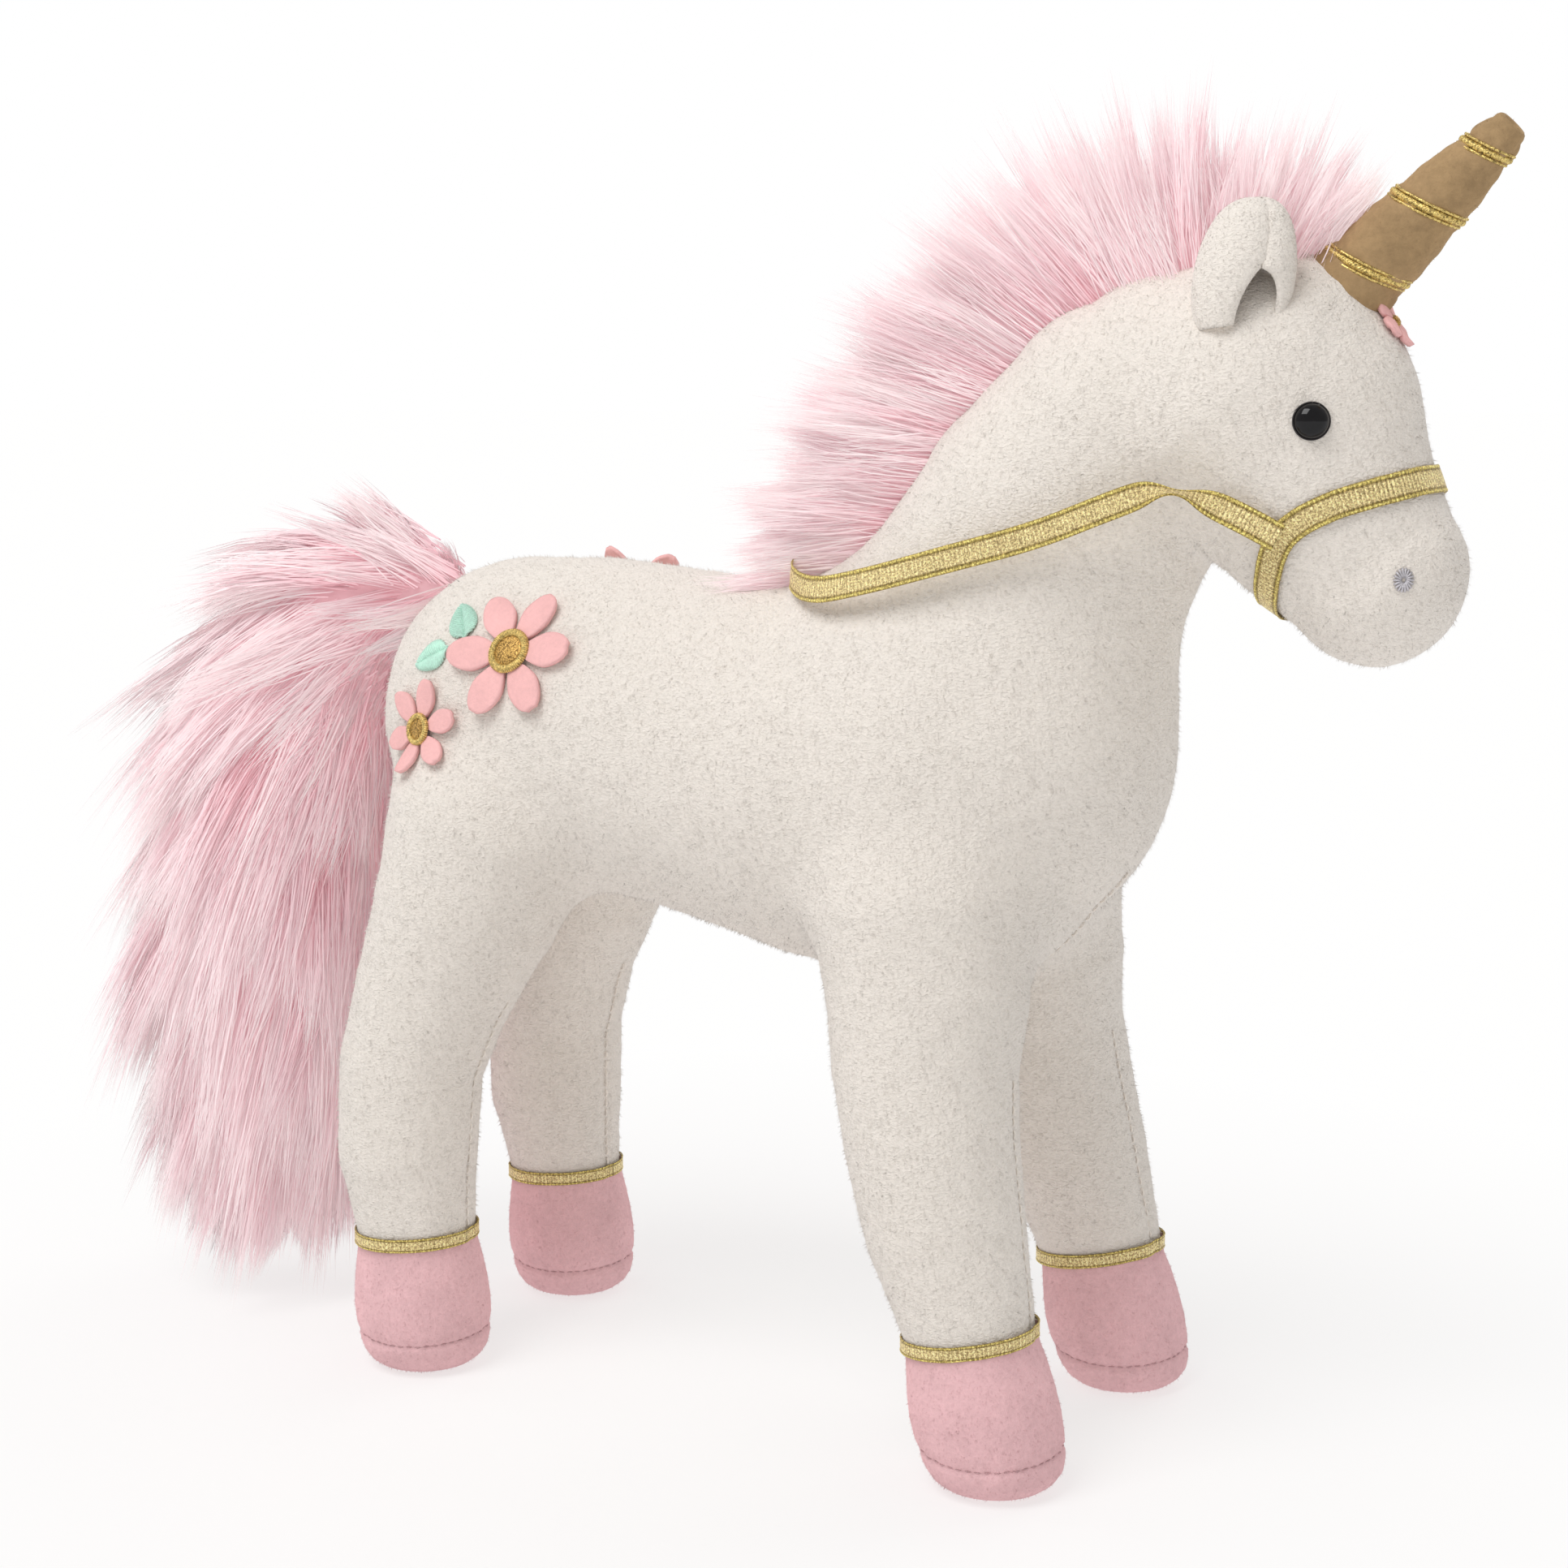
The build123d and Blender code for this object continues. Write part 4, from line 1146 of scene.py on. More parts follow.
def hoof_mesh(end, sign):
    """Hoof: bulging sole, gathered seam, and a cover that narrows to fit the ankle."""
    rows = [
        (0.0, 3.0), (0.0, 8.0), (0.2, 11.5), (1.2, 14.2), (3.0, 16.6), (5.4, 18.2), (8.0, 19.0), (9.6, 19.1)
    ]
    rows += [
        (10.5, 18.5), (11.4, 19.2), (14, 19.8), (19, 20.0), (25, 19.5), (31, 18.6), (36, 17.8), (39, 17.4)
    ]
    rows += [(40.5, 16.8), (40.5, 12.0)]
    count = 96
    turn = full_turn(count)
    verts = []
    for z, r in rows:
        share = min(1.0, max(0.0, (z - 6) / 33))
        centre = ankle_line(end, sign, share)
        gather = 0.35 * math.exp(-(((z - 11) / 2.4) ** 2))
        radius = r + gather * np.sin(turn * 22 + sign) * (0.6 + 0.4 * np.sin(turn * 5))
        lift = ankle_tilt(end) * np.cos(turn) * r * share + 0.5 * np.sin(turn * 2 + 1) * (8 < z < 13)
        verts.append(
            np.stack([centre[0] + radius * np.cos(turn), centre[1] + radius * np.sin(turn), z + lift], 1)
        )
    verts = np.concatenate(verts)
    line = verts[8 * count : 9 * count].copy()
    snug = verts[:, 2] > 34
    place, up = lay(verts[snug])
    share = np.clip((verts[snug][:, 2:] - 34) / 5, 0, 1)
    verts[snug] = verts[snug] * (1 - share) + (place + up * 0.7) * share
    return verts, grid_faces(len(rows), count, False, True), np.concatenate([line, line[:1]])


def ankle_path(end, sign):
    """Ring laid snugly round the ankle and the direction across the ribbon there."""
    turn = np.linspace(0, 2 * math.pi, 201)[:-1]
    centre = ankle_line(end, sign, 1.0)
    height = 39.5 + ankle_tilt(end) * 18 * np.cos(turn)
    ring = np.stack([centre[0] + 19 * np.cos(turn), centre[1] + 19 * np.sin(turn), height], 1)
    place, up = lay(ring)
    place[:, 2] = height
    flat = unit(up * np.array([1, 1, 0]))
    return place + flat * 0.9, np.broadcast_to(UP, ring.shape)


def ribbon_material():
    """Gold ribbon: dark and bright threads at its edges, a pale open weave between them, and painted sparkle.
    """
    colour = tuple(bpy.context.scene.unicorn_colours.gold)
    material, tree, shader = cloth("gold ribbon", colour, 0.36, 0.1)
    shader.inputs["Metallic"].default_value = 0.6
    place = tree.nodes.new("ShaderNodeUVMap")
    parts = tree.nodes.new("ShaderNodeSeparateXYZ")
    tree.links.new(place.outputs["UV"], parts.inputs["Vector"])
    ladder = node(tree, "ShaderNodeMath", operation="SINE")
    tree.links.new(parts.outputs["X"], ladder.inputs[0])
    pale = tuple((c + w) / 2 for c, w in zip(shade(colour, 1.15), (0.95, 0.85, 0.6)))
    half = [(0.0, shade(colour, 0.5)), (0.07, shade(colour, 1.5)), (0.16, shade(colour, 0.4)), (0.24, pale)]
    stops = half + [(1 - at, tone) for at, tone in reversed(half)]
    across = ramp(tree, parts.outputs["Y"], stops)
    rungs = ramp(tree, ladder.outputs[0], [(0.1, (0.8, 0.78, 0.72)), (0.9, (1.08, 1.06, 1.0))])
    flecks = object_noise(tree, 2100.0, 2.0, 0.75)
    # Fine flecks that multiply the colour up to nearly twice: painted glints on the metal thread.
    spark = ramp(
        tree, flecks.outputs["Fac"],
        [(0.38, (0.55, 0.5, 0.42)), (0.5, (1.0, 1.0, 1.0)), (0.64, (1.9, 1.85, 1.7))],
    )
    total = across.outputs["Color"]
    for layer in (rungs, spark):
        mixed = node(tree, "ShaderNodeMix", data_type="RGBA", blend_type="MULTIPLY")
        mixed.inputs["Factor"].default_value = 1.0
        tree.links.new(total, mixed.inputs["A"])
        tree.links.new(layer.outputs["Color"], mixed.inputs["B"])
        total = mixed.outputs["Result"]
    tree.links.new(total, shader.inputs["Base Color"])
    bump(tree, shader, [(ladder.outputs[0], 0.3), (flecks.outputs["Fac"], 1.2)], 0.0005, 1.0)
    return material


def ribbon_strip(name, path, across, width, material, closed=False):
    """Flat woven ribbon along points, with raised edges, woven rungs and a little thickness."""
    path, across = np.asarray(path, float), unit(across)
    tangent = tangents(path, closed)
    across = unit(across - tangent * np.sum(across * tangent, 1, keepdims=True))
    out = np.cross(tangent, across)
    place = np.array([-1.0, -0.88, -0.74, -0.5, -0.2, 0.2, 0.5, 0.74, 0.88, 1.0])
    rise = np.array([0.08, 0.3, 0.14, 0.18, 0.2, 0.2, 0.18, 0.14, 0.3, 0.08])
    columns = np.concatenate([place, place[::-1]])
    lift = np.concatenate([rise, -rise[::-1]])
    step = np.arange(len(path))
    rung = 1 + 0.25 * np.sin(step * math.pi / 2)[:, None] * (np.abs(columns) < 0.8)[None]
    verts = (
        path[:, None]
        + across[:, None] * (columns * width / 2)[None, :, None]
        + out[:, None] * (lift[None] * rung)[:, :, None]
    )
    faces = grid_faces(len(path), len(columns), closed, True)
    ends = []
    if not closed:
        n = len(columns) // 2
        for base in (0, (len(path) - 1) * len(columns)):
            k = np.arange(n - 1)
            ends.append(np.stack([base + k, base + k + 1, base + 2 * n - 2 - k, base + 2 * n - 1 - k], 1))
        ends[0] = ends[0][:, ::-1]
    faces = np.concatenate([faces, *ends]) if ends else faces
    made = make_mesh(name, verts.reshape(-1, 3), faces, material)
    uv = np.stack(
        [np.repeat(distance_along(path) * 5.2, len(columns)), np.tile((columns + 1) / 2, len(path))], 1
    )
    loops = np.zeros(len(made.data.loops), np.int32)
    made.data.loops.foreach_get("vertex_index", loops)
    layer = made.data.uv_layers.new(name="ribbon")
    layer.data.foreach_set("uv", uv[loops].astype(np.float32).ravel())
    return made


class UNICORN_OT_tail(Operator):
    """Comb the long pink tail"""

    bl_idname = "unicorn.tail"
    bl_label = "Tail"

    def execute(self, context):
        sizes = context.scene.unicorn_sizes
        colours = context.scene.unicorn_colours
        rng = np.random.default_rng(21)
        fur = fur_material("pink fur", tuple(colours.fur_root), tuple(colours.fur_tip))
        verts, quads, normals = core_mesh(TAIL, TAIL_FLAT, 3.0)
        # Name, number of locks, hairs in each, share of the full length, how far hairs stray, CAD nodes
        layers = [
            ("tail_underfur", sizes.tail_tufts, 56, 0.8, 0.15, ["tail_pile", "tail_backing"]),
            ("tail_fur", sizes.tail_tufts // 2, 80, 1.0, 0.35, []),
        ]
        for name, tufts, per_tuft, share, stray, nodes in layers:
            roots, out = scatter(verts, quads, normals, tufts, rng)
            way = chain_tangent(roots, TAIL)
            behind = np.array([-1.0, 0.0, 0.0]) * rng.uniform(0, stray, (tufts, 1))
            near = np.clip((roots[:, 0] + 135) / 35, 0, 1)[:, None] * (roots[:, 2:3] > 175)
            flows = unit(way + (0.10 + 0.5 * near) * out + behind + 0.08 * random_rows(rng, tufts))
            length = share * sizes.tail_length / MM * rng.uniform(0.6, 1.0, tufts)
            length *= np.clip((roots[:, 2] + 8) / 85, 0.35, 1.0) * (1 - 0.45 * near[:, 0])
            # Tufts high on the tail and away from the rump are paler, and those by the rump deeper pink:
            # painted light on the top and painted shade next to the rump.
            pale = np.clip(
                (roots[:, 0] + 130) / -80, 0, 1
            ) * 0.6 + np.clip((roots[:, 2] - 170) / 60, 0, 1) * 0.5
            pale = np.repeat(np.clip(pale, 0, 0.9), per_tuft)
            hair = strands(roots, out, flows, length, per_tuft, 6.0, 0.4, rng, 0.35, 0.12, 0.1, pale)
            hair_verts, hair_faces, hair_normals, data, _ = hair
            hair = (above_floor(hair_verts), hair_faces, hair_normals)
            made = piled_mesh(name, (verts, quads, normals), hair, fur)
            colour_data(made, np.concatenate([ground_data(len(verts), 0.2), data]))
            attach(made, "tail", nodes)
        return {"FINISHED"}


def above_floor(verts):
    """Hair with its tips laid along the floor, and drawn in where they trail too far behind."""
    verts = verts.copy()
    behind = verts[:, 0] < TAIL_BACK
    verts[behind, 0] = TAIL_BACK + TAIL_GIVE * np.tanh((verts[behind, 0] - TAIL_BACK) / TAIL_GIVE)
    low = verts[:, 2] < 3
    verts[low, 2] = 1.5 + 1.5 * np.exp((verts[low, 2] - 3) / 8)
    return verts


class UNICORN_OT_mane(Operator):
    """Comb the mane along the neck and over the poll"""

    bl_idname = "unicorn.mane"
    bl_label = "Mane"

    def execute(self, context):
        sizes = context.scene.unicorn_sizes
        rng = np.random.default_rng(33)
        fur = bpy.data.materials["pink fur"]
        verts, quads, normals = core_mesh(CREST, 1.0, 2.5)
        roots, out = scatter(verts, quads, normals, sizes.mane_tufts * 2, rng)
        flows, reach = combed(roots)
        show = np.sum(out * flows, axis=1) > -0.25
        roots, out, flows, reach = roots[show], out[show], flows[show], reach[show]
        count = len(roots)
        aside = out * np.array([0.0, 1.0, 0.0])
        soft = unit(aside + 0.6 * np.sign(aside) + UP * 0.08)
        reach = reach * sizes.mane_length / MM / MANE_LENGTH
        spike = np.arange(count) % 5 < 2
        every = np.full(count, True)
        # Which locks, their least and greatest length, hairs in each, their spread and how they draw together
        kinds = [
            (every, 0.55, 0.72, 44, 8.0, 0.8),
            (~spike, 0.75, 0.98, 84, 4.6, 0.25),
            (spike, 0.9, 1.12, 56, 3.0, 0.02),
        ]
        layers = []
        for locks, low, high, per_lock, spread, pinch in kinds:
            number = int(locks.sum())
            lean = unit(flows[locks] + 0.25 * aside[locks] + 0.14 * random_rows(rng, number))
            length = reach[locks] * rng.uniform(low, high, number)
            hair = strands(
                roots[locks], soft[locks], lean, length, per_lock, spread, 0.34, rng, 0.2, 0.14, pinch, 0.4
            )
            layers.append(hair[:4] + (np.where(locks)[0][hair[4]],))
        hair_verts, hair_normals, data, tuft = [
            np.concatenate([layer[i] for layer in layers]) for i in (0, 2, 3, 4)
        ]
        shift = np.cumsum([0] + [len(layer[0]) for layer in layers[:-1]])
        hair_faces = np.concatenate([layer[1] + at for layer, at in zip(layers, shift)])
        owner = poll_share(roots)
        core_owner = poll_share(verts)[quads[:, 0]]
        rows = [
            ("mane_neck", "neck", ["neck_mane_backing", "neck_mane_pile"]),
            ("mane_throat", "poll", []),
            ("mane_poll", "head", ["poll_mane_backing", "poll_mane_pile"]),
        ]
        for index, (name, body, nodes) in enumerate(rows):
            pick = owner[tuft[hair_faces[:, 0]]] == index
            used, faces = np.unique(hair_faces[pick], return_inverse=True)
            core_used, core_faces = np.unique(quads[core_owner == index], return_inverse=True)
            ground = (verts[core_used], core_faces.reshape(-1, 4), normals[core_used])
            hair = (hair_verts[used], faces.reshape(-1, 3), hair_normals[used])
            made = piled_mesh(name, ground, hair, fur)
            colour_data(made, np.concatenate([ground_data(len(core_used), 0.3), data[used]]))
            attach(made, body, nodes)
        return {"FINISHED"}


def combed(roots):
    """Direction and length of the mane's hair at each root, from the nearest places of its comb."""
    places = np.array([place for place, _ in COMB], float)
    tips = np.array([tip for _, tip in COMB], float)
    gap = np.linalg.norm(roots[:, None, [0, 2]] - places[None], axis=2)
    weight = np.exp(-((gap / 11.0) ** 2)) + 1e-9
    tip = (weight[:, :, None] * tips[None]).sum(1) / weight.sum(1, keepdims=True)
    reach = np.linalg.norm(tip, axis=1)
    return unit(np.stack([tip[:, 0], np.zeros(len(tip)), tip[:, 1]], 1)), reach


def poll_share(points):
    """0 for points on the neck, 2 on the head and 1 across the bend between them."""
    run = POLL_TO - POLL_FROM
    share = (points - POLL_FROM) @ run / (run @ run)
    return np.where(share >= 1, 2, np.where(share > 0, 1, 0))


class UNICORN_OT_ears(Operator):
    """Fold the two padded ears"""

    bl_idname = "unicorn.ears"
    bl_label = "Ears"

    def execute(self, context):
        sizes = context.scene.unicorn_sizes
        rng = np.random.default_rng(9)
        plush = bpy.data.materials["white plush"]
        for side in ("right", "left"):
            verts, faces = ear_mesh(SIGN[side])
            ground = (verts, faces, point_normals(verts, faces))
            comb = np.array([[-0.2, 0.0, 1.0]])
            hair = blades(*ground, sizes.fuzz_density, EAR_PILE_LENGTH, PLUSH_HAIR_WIDTH, comb, rng)
            made = piled_mesh(f"ear_{side}", ground, hair, plush)
            nodes = [f"ear_outer_{side}", f"ear_lining_{side}"]
            attach(made, f"ear_{side}", nodes)
        return {"FINISHED"}


def ear_mesh(sign):
    """Padded leaf rolled round its upright middle, its free edges apart below and lapped above."""
    rows, columns = 48, 61
    up = np.linspace(0, 1, rows)[:, None]
    across = np.linspace(-1, 1, columns)[None]
    reach = 10.9 * np.sqrt(np.clip(1 - ((up - 0.42) / 0.595) ** 2, 0.004, 1))
    gap = np.sqrt(np.clip(1 - (up / 0.5) ** 2, 0, 1))
    shut = 1 - gap
    angle = math.radians(-42) + math.pi + across * np.radians(180 + 12 * shut - 34 * gap)
    tuck = 1 - 0.2 * np.clip((across - 0.75) / 0.25, 0, 1) * shut
    centre = np.stack(
        [
            158.3 + 4.5 * up + tuck * reach * np.cos(angle),
            23.5 - (0.86 - 0.3 * up) * tuck * reach * np.sin(angle),
            299.5 + 33.0 * up + 2.2 * across * (1 - up) + 0 * angle,
        ],
        -1,
    ).reshape(-1, 3)
    out = np.stack([np.cos(angle), -np.sin(angle), 0.35 * (up - 0.4) + 0 * angle], -1).reshape(-1, 3)
    rim = (1 - np.abs(across) ** 10) * (1 - up**16)
    verts, faces = sheet_solid(
        centre, unit(out), 1.9, rows, columns, np.sqrt(np.clip(rim, 0.05, 1)).reshape(-1)
    )
    verts[:, 1] *= sign
    faces = np.concatenate(faces)
    return verts, faces if sign > 0 else faces[:, ::-1]


class UNICORN_OT_horn(Operator):
    """Make the suede horn and wind three bands of braid round it"""

    bl_idname = "unicorn.horn"
    bl_label = "Horn"

    def execute(self, context):
        colours = context.scene.unicorn_colours
        rng = np.random.default_rng(4)
        suede = woven("tan suede", tuple(colours.suede), 500.0, 0.85, contrast=0.18, sheen=0.5, depth=0.0004)
        braid = gold_material("gold braid", tuple(colours.gold), shade(tuple(colours.gold), 0.35))
        verts, faces = turned(horn_profile(), HORN_BASE, HORN_AXIS, HORN_FRONT, 72, horn_wobble)
        ground = (verts, faces, point_normals(verts, faces))
        hair = blades(*ground, *HORN_PILE, np.array([[0.7, 0.0, 0.7]]), rng)
        made = piled_mesh("horn", ground, hair, suede)
        attach(made, "head", ["horn_cover", "horn_stuffing"])
        parts = []
        for at, radius in HORN_BANDS:
            parts += [braid_strand(at, radius, strand) for strand in range(5)]
        made = make_mesh("horn_braids", *joined(parts), braid)
        attach(made, "head", ["horn_braid"])
        return {"FINISHED"}


def horn_profile():
    """Rows of (distance along the horn, radius): a cone pinched by its bands, with a folded blunt tip."""
    rows = []
    corners = [(-6.0, 12.4), (0.0, 11.6), *HORN_BANDS, (56.0, 4.7)]
    for (start, r_start), (end, r_end) in zip(corners, corners[1:]):
        for share in np.linspace(0, 1, 16, endpoint=False):
            bulge = 0.75 * math.sin(share * math.pi) ** 0.7 if start >= 0 else 0.0
            rows.append((start + (end - start) * share, r_start + (r_end - r_start) * share + bulge))
    rows += [
        (56.0, 4.7), (57.2, 4.55), (58.0, 4.1), (58.4, 3.5), (58.2, 2.7), (57.6, 1.8), (57.2, 0.9),
        (57.1, 0.02),
    ]
    return rows


def horn_wobble(at, turn):
    """Small creases of the horn's cloth, stronger at the gathered tip."""
    creases = 0.2 * np.sin(turn * 5 + at * 0.35) * np.sin(at * 0.5) + 0.1 * np.sin(turn * 11 - at * 0.8)
    return creases * np.clip((58.0 - at) / 3, 0, 1)


def braid_strand(at, radius, strand):
    """One cord of a slanted band of braid round the horn: three woven between two straight ones."""
    turn = np.linspace(0, 2 * math.pi, 241)[:-1]
    along = at + 0.36 * radius * np.cos(turn)
    narrower = (along - at) * -0.11
    if strand < 3:
        weave = turn * 30 + strand * 2 * math.pi / 3
        along = along + 0.65 * np.sin(weave)
        reach = radius + narrower + 0.4 + 0.22 * np.cos(2 * weave)
    else:
        along = along + (1.4 if strand == 3 else -1.4)
        reach = radius + narrower + 0.35 + 0.08 * np.sin(turn * 90)
    other = np.cross(HORN_AXIS, HORN_FRONT)
    ring = np.cos(turn)[:, None] * HORN_FRONT + np.sin(turn)[:, None] * other
    path = HORN_BASE + along[:, None] * HORN_AXIS + reach[:, None] * ring
    return tube(path, 0.38, 7, closed=True, up=HORN_AXIS)


class UNICORN_OT_face(Operator):
    """Set the eyes, stitch the nostrils and sew on the brow rosette"""

    bl_idname = "unicorn.face"
    bl_label = "Face"

    def execute(self, context):
        eye = eye_material()
        rim = woven("eye rim", (0.05, 0.045, 0.045), 1500.0, 0.5)
        grey = woven("grey thread", (0.55, 0.53, 0.56), 1800.0, 0.35, 0.5, 0.35)
        eyes, rims, noses = [], [], []
        for sign in (-1, 1):
            place, up = lay([beside(EYE_SPOT, sign)])
            around = unit(np.cross(up[0], UP))
            turn = np.linspace(0, math.pi / 2, 14)
            dome = [(0.3 + 3.2 * math.sin(t), max(0.01, EYE_RADIUS * math.cos(t))) for t in turn]
            rows = [(-1.0, 4.1), (0.0, EYE_RADIUS), *dome]
            eyes.append(turned(rows, place[0], up[0], around, 48))
            ring = [(-0.6, 4.2), (0.25, 4.75), (0.55, 4.7), (0.6, 4.5), (0.2, 4.3)]
            rims.append(turned(ring, place[0], up[0], around, 48))
            noses.extend(nostril(sign))
        attach(make_mesh("eyes", *joined(eyes), eye), "head", ["eyes"])
        attach(make_mesh("eye_rims", *joined(rims), rim), "head", [])
        attach(make_mesh("nostril_stitches", *joined(noses), grey), "head", ["nostrils"])
        felt = felt_material()
        place, up = lay([BROW_SPOT])
        glitter = glitter_material()
        parts = petal_parts(place[0], up[0], 5, 1.2, 7.2, 3.0, 0.6, 0.3)
        attach(make_mesh("brow_petals", *joined(parts), felt), "head", ["brow_flower_petals"])
        middle = turned(
            [(0.5, 1.9), (1.6, 1.7), (2.2, 1.0), (2.4, 0.02)], place[0], up[0], unit(np.cross(up[0], UP)), 24
        )
        attach(make_mesh("brow_middle", *middle, glitter), "head", ["brow_flower_centre"])
        return {"FINISHED"}


def nostril(sign):
    """Stitched ring: short silver threads laid from its hollow middle outwards."""
    place, up = lay([beside(NOSTRIL_SPOT, sign)])
    out = up[0]
    high = unit(UP - out * (UP @ out))
    wide = np.cross(high, out)
    parts = []
    for turn in np.linspace(0, 2 * math.pi, 19)[:-1]:
        way = high * math.cos(turn) * 1.15 + wide * math.sin(turn) * 0.95
        along = high * -math.sin(turn) + wide * math.cos(turn)
        steps = np.linspace(0, 1, 6)[:, None]
        path = place[0] + way * (0.6 + 1.9 * steps) + out * (
            0.1 + 0.55 * np.sin(steps * math.pi)
        ) + along * steps * 0.5
        parts.append(tube(path, 0.3, 6, up=out))
    return parts


def felt_material():
    """Pressed pink felt."""
    colour = tuple(bpy.context.scene.unicorn_colours.felt)
    made = bpy.data.materials.get("pink felt")
    return made or woven("pink felt", colour, 800.0, 0.95, contrast=0.08, sheen=0.5, depth=0.0004)


def glitter_material():
    """Brown-gold glitter cloth."""
    made = bpy.data.materials.get("glitter")
    return made or gold_material("glitter", (0.54, 0.33, 0.10), (0.12, 0.06, 0.015), 2000.0, 0.6, 0.3)


def petal_parts(centre, out, count, inner, reach, half, lift, turn):
    """Felt petals that follow the cloth at their feet and rise at their tips."""
    wide = unit(np.cross(out, UP))
    high = np.cross(wide, out) * -1
    rows, columns = 16, 11
    along = np.linspace(0, 1, rows)[:, None]
    across = np.linspace(-1, 1, columns)[None]
    shape = np.sqrt(
        np.clip(1 - ((along - 0.56) / 0.46) ** 2, 0, 1)
    ) * (0.62 + 0.38 * np.clip(along * 1.8, 0, 1))
    shape = np.maximum(shape, 0.25 * (1 - along))
    parts = []
    for k in range(count):
        angle = turn + k * 2 * math.pi / count
        way = np.cos(angle) * wide + np.sin(angle) * high
        side = -np.sin(angle) * wide + np.cos(angle) * high
        flat = (
            centre
            + way * (inner + (reach - inner) * along)[:, :, None]
            + side * (across * shape * half)[:, :, None]
        ).reshape(-1, 3)
        ground, up = lay(flat)
        rise = 0.9 + lift * (along**2) * (1.0 + 0.25 * np.sin(k * 2.4)) + 0.35 * (1 - across**2) * along
        middle = ground + up * (rise + 0 * across).reshape(-1, 1)
        parts.append(sheet_solid(middle, up, 0.6, rows, columns))
    return parts


class UNICORN_OT_harness(Operator):
    """Sew the gold noseband and lay the reins along the neck"""

    bl_idname = "unicorn.harness"
    bl_label = "Noseband and reins"

    def execute(self, context):
        sizes = context.scene.unicorn_sizes
        gold = bpy.data.materials["gold ribbon"]
        width = sizes.ribbon_width / MM
        half = [
            (201.5, 0, 263.5), (196, 14, 262), (184, 26, 257.5), (172.5, 28, 249.5), (166, 19, 238),
            (163.5, 0, 231),
        ]
        loop = half + [(x, -y, z) for x, y, z in half[-2:0:-1]] + half[:1]
        place, up = lay(curve_through(loop, RIBBON_STEP)[:-1])
        for _ in range(6):
            place = (np.roll(place, 1, 0) + place * 2 + np.roll(place, -1, 0)) / 4
        across = np.cross(up, tangents(place, closed=True))
        band = ribbon_strip("noseband_ribbon", place + up * 0.9, across, width, gold, closed=True)
        attach(band, "head", ["noseband"])
        for name, body, nodes, path, across in rein_parts():
            made = ribbon_strip(name, path, across, width, gold)
            attach(made, body, nodes)
        return {"FINISHED"}


def rein_line():
    """Evenly spaced points, in millimetres, read from the smooth curve that the reins' route controls."""
    route = REIN_SIDE + [(x, -y, z) for x, y, z in reversed(REIN_SIDE)]
    curve = bpy.data.curves.new("rein route", "CURVE")
    curve.dimensions = "3D"
    curve.resolution_u = 48
    spline = curve.splines.new("NURBS")
    spline.points.add(len(route) - 1)
    for point, place in zip(spline.points, route):
        point.co = (*place, 1)
    spline.order_u = 3
    spline.use_endpoint_u = True
    holder = bpy.data.objects.new("rein route", curve)
    mesh = bpy.data.meshes.new_from_object(holder)
    dense = np.array([v.co[:] for v in mesh.vertices]) / MM
    bpy.data.objects.remove(holder)
    bpy.data.curves.remove(curve)
    bpy.data.meshes.remove(mesh)
    length = distance_along(dense)
    return picked(np.linspace(0, length[-1], int(length[-1] / RIBBON_STEP)), length, dense)


def rein_parts():
    """The reins in three stretches: name, body that each goes with, its CAD node, points and width line."""
    line = rein_line()
    tangent = tangents(line)
    side = np.sign(line[:, 1])
    front = np.stack([np.full(len(line), 0.25), side, np.full(len(line), 0.15)], 1)
    behind = line - np.array([88.0, 0.0, 0.0])
    behind[:, 2] = 6.0
    share = np.clip((line[:, 0:1] - 85) / 30, 0, 1)
    out = unit(unit(front) * share + unit(behind) * (1 - share))
    upright = unit(np.cross(tangent, out))
    level = np.cross(tangent, upright)
    turn_at, turn_half, turn_angle = REIN_TURN
    turn = turn_angle * np.exp(-(((line[:, 0:1] - turn_at) / turn_half) ** 2))
    across = upright * np.cos(turn) + level * np.sin(turn) * side[:, None]
    back = np.where(line[:, 0] < REIN_PART / MM)[0]
    first, last = back[0], back[-1]
    cuts = [
        ("rein_left", "poll", [], slice(0, first + 1)),
        ("rein_loop", "neck", ["reins"], slice(first, last + 1)),
        ("rein_right", "poll", [], slice(last, None)),
    ]
    return [(name, body, nodes, line[cut], across[cut]) for name, body, nodes, cut in cuts]


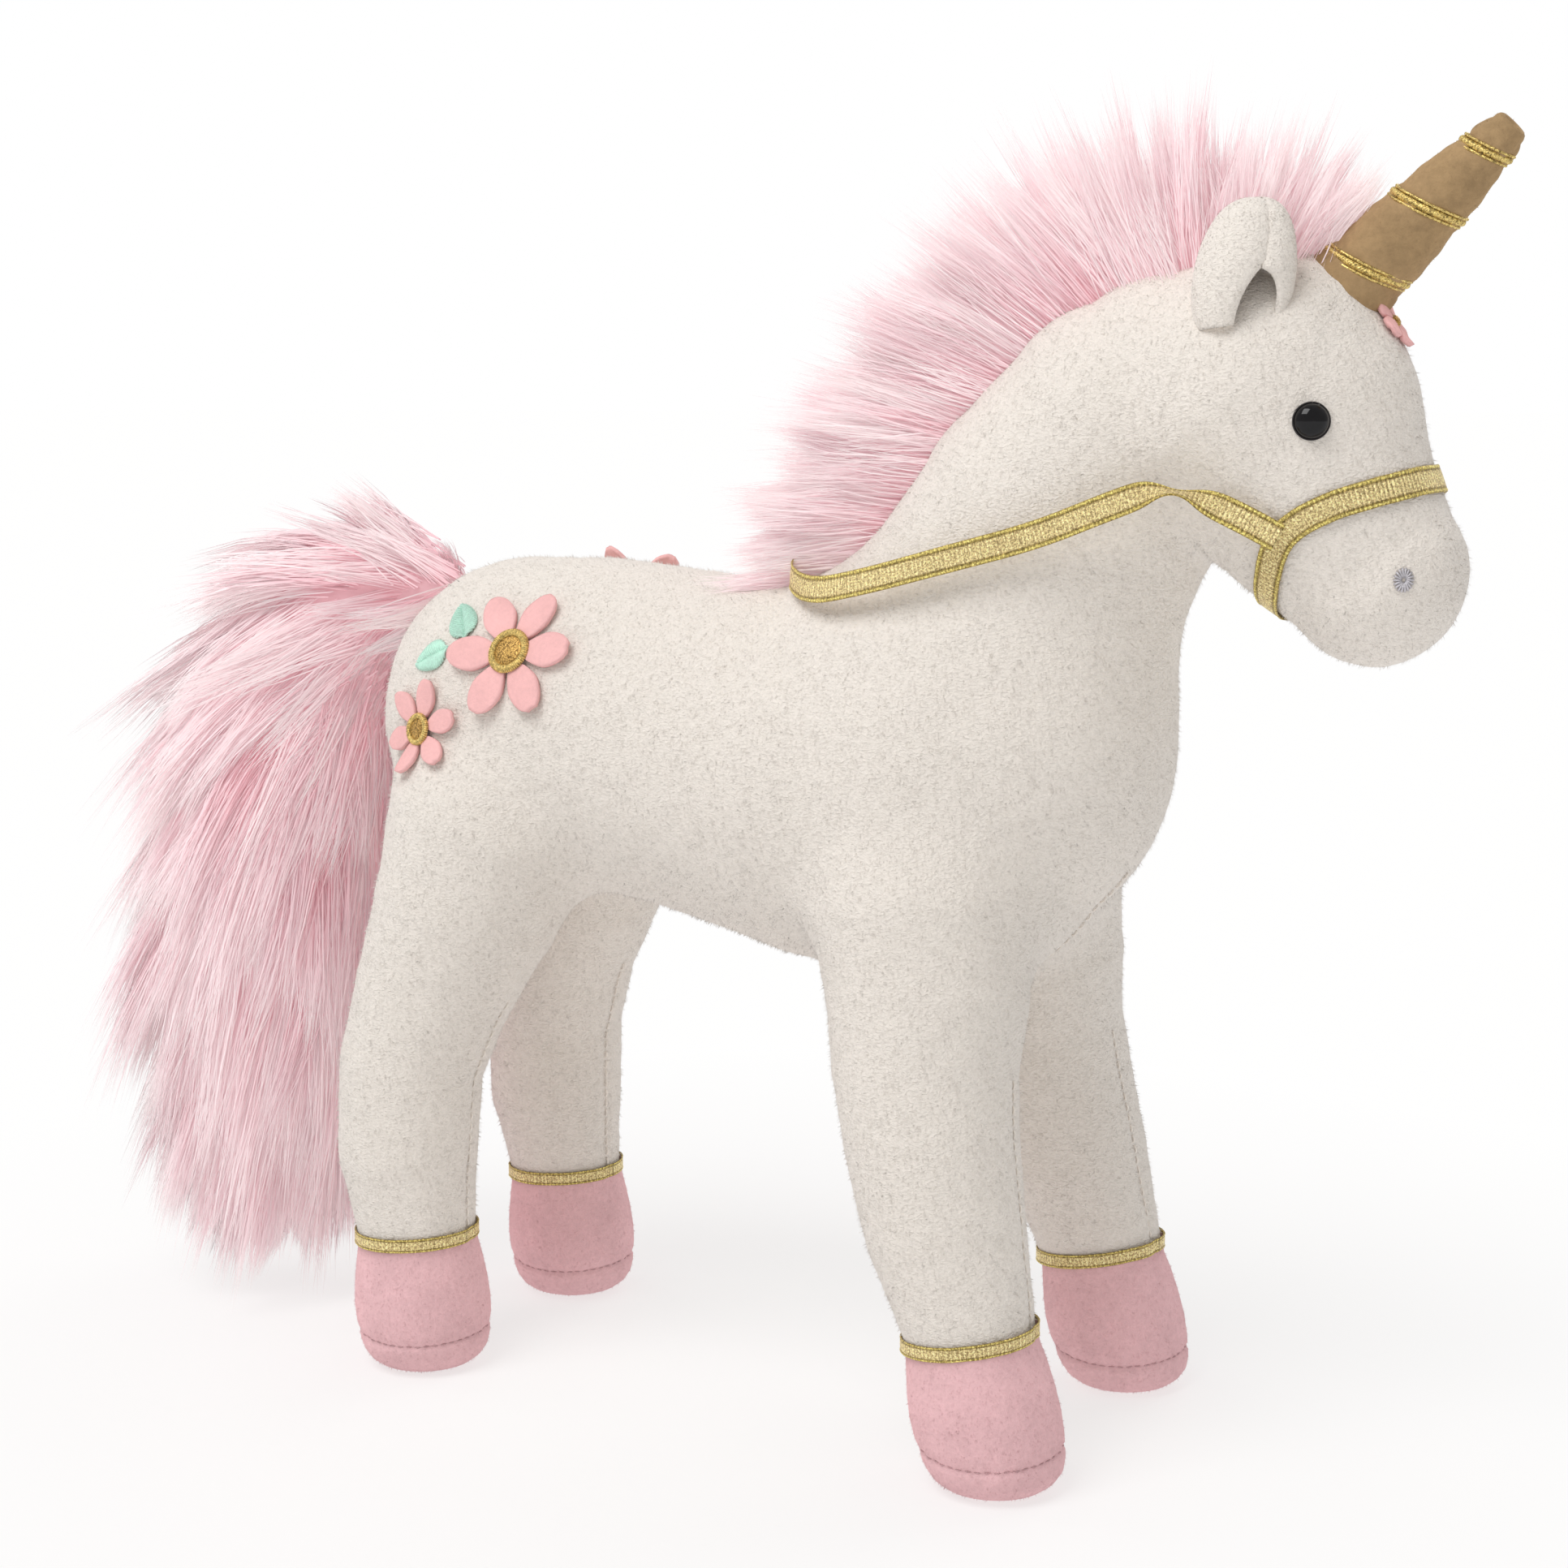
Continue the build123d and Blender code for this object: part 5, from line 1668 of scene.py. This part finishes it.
class UNICORN_OT_flowers(Operator):
    """Sew the felt flowers and stitched leaves on both sides of the rump"""

    bl_idname = "unicorn.flowers"
    bl_label = "Rump flowers"

    def execute(self, context):
        felt, glitter = felt_material(), glitter_material()
        colours = context.scene.unicorn_colours
        satin = gold_material(
            "satin stitch", shade(tuple(colours.gold), 0.9), shade(tuple(colours.gold), 0.5), 1400.0, 0.4, 0.4
        )
        mint = woven("mint thread", tuple(colours.mint), 1500.0, 0.4, contrast=0.25, sheen=0.8)
        petals, middles = {size: [] for size in FLOWERS}, {size: [] for size in FLOWERS}
        rings, leaves = [], []
        for sign in (-1, 1):
            for size, (spot, reach, half, disc, turn) in FLOWERS.items():
                higher = LEFT_FLOWER_RISE if sign > 0 and size == "large" else 0.0
                place, up = lay([beside(spot, sign) + UP * higher])
                petals[size] += petal_parts(place[0], up[0], 6, 2.0, reach, half, 1.6 + higher / 3, turn)
                disc_part, ring_parts = flower_middle(place[0] + up[0] * 1.5, up[0], disc)
                middles[size].append(disc_part)
                rings += ring_parts
            for spot, turn in LEAVES:
                leaves.append(leaf(beside(spot, sign), math.radians(turn), sign))
        for size in FLOWERS:
            made = make_mesh(f"flower_{size}_felt", *joined(petals[size]), felt)
            attach(made, "torso", [f"flower_{size}_petals"])
            made = make_mesh(f"flower_{size}_middle", *joined(middles[size]), glitter)
            attach(made, "torso", [f"flower_{size}_centres"])
        attach(make_mesh("flower_stitch_rings", *joined(rings), satin), "torso", [])
        attach(make_mesh("leaf_stitches", *joined(leaves), mint), "torso", ["rump_leaves"])
        return {"FINISHED"}


def flower_middle(centre, out, radius):
    """Glitter disc with a ring of satin stitches round it."""
    wide = unit(np.cross(out, UP))
    high = np.cross(out, wide)
    rows = [
        (-0.6, radius * 0.82), (0.5, radius * 0.8), (0.9, radius * 0.6), (1.05, radius * 0.3), (1.1, 0.02)
    ]
    disc = turned(rows, centre, out, wide, 36)
    stitches = []
    for k in range(int(radius * 10)):
        angle = k / int(radius * 10) * 2 * math.pi
        way = np.cos(angle) * wide + np.sin(angle) * high
        path = [
            centre + way * radius * s + out * r
            for s, r in ((0.74, 0.5), (0.84, 1.1), (0.96, 1.05), (1.06, 0.2))
        ]
        stitches.append(tube(path, 0.36, 5, up=out))
    return disc, stitches


def leaf(spot, turn, sign):
    """Leaf of slanting satin stitches on each side of its midrib."""
    place, up = lay([spot])
    out = up[0]
    wide = unit(np.cross(out, UP)) * (1 if sign > 0 else -1)
    high = unit(UP - out * (UP @ out))
    way = -np.cos(turn) * wide * np.sign(wide[0] or 1) + np.sin(turn) * high
    side = np.cross(out, way)
    parts = []
    for share in np.linspace(-1, 1, 19):
        half = 4.3 * math.sqrt(max(0.02, 1 - share**2)) * (1 - 0.35 * share)
        for hand in (-1, 1):
            start = place[0] + way * share * 6.0
            end = start + side * hand * half + way * 1.2
            steps = np.linspace(0, 1, 5)[:, None]
            path = start * (1 - steps) + end * steps
            ground, lift = lay(path)
            parts.append(tube(ground + lift * (0.45 + 0.6 * np.sin(steps * math.pi)), 0.36, 6, up=out))
    return joined(parts)


class UNICORN_PT_panel(Panel):
    """Lists the steps in order"""

    bl_label = "Plush unicorn"
    bl_idname = "UNICORN_PT_panel"
    bl_space_type = "VIEW_3D"
    bl_region_type = "UI"
    bl_category = "Plush Unicorn"

    def draw(self, context):
        for group in (context.scene.unicorn_sizes, context.scene.unicorn_colours):
            for name in group.bl_rna.properties.keys():
                if name not in {"rna_type", "name"}:
                    self.layout.prop(group, name)
        for step in STEPS:
            self.layout.operator(step.bl_idname)


STEPS = (
    UNICORN_OT_stage,
    UNICORN_OT_body,
    UNICORN_OT_hooves,
    UNICORN_OT_harness,
    UNICORN_OT_tail,
    UNICORN_OT_mane,
    UNICORN_OT_ears,
    UNICORN_OT_horn,
    UNICORN_OT_face,
    UNICORN_OT_flowers,
)
CLASSES = (UnicornSizes, UnicornColours, *STEPS, UNICORN_PT_panel)


def register():
    for cls in CLASSES:
        bpy.utils.register_class(cls)
    bpy.types.Scene.unicorn_sizes = PointerProperty(type=UnicornSizes)
    bpy.types.Scene.unicorn_colours = PointerProperty(type=UnicornColours)


def unregister():
    del bpy.types.Scene.unicorn_colours
    del bpy.types.Scene.unicorn_sizes
    for cls in reversed(CLASSES):
        bpy.utils.unregister_class(cls)


def main():
    """Build the unicorn."""
    register()
    bpy.ops.unicorn.stage()
    bpy.ops.unicorn.body()
    bpy.ops.unicorn.hooves()
    bpy.ops.unicorn.harness()
    bpy.ops.unicorn.tail()
    bpy.ops.unicorn.mane()
    bpy.ops.unicorn.ears()
    bpy.ops.unicorn.horn()
    bpy.ops.unicorn.face()
    bpy.ops.unicorn.flowers()


if __name__ == "__main__":
    main()
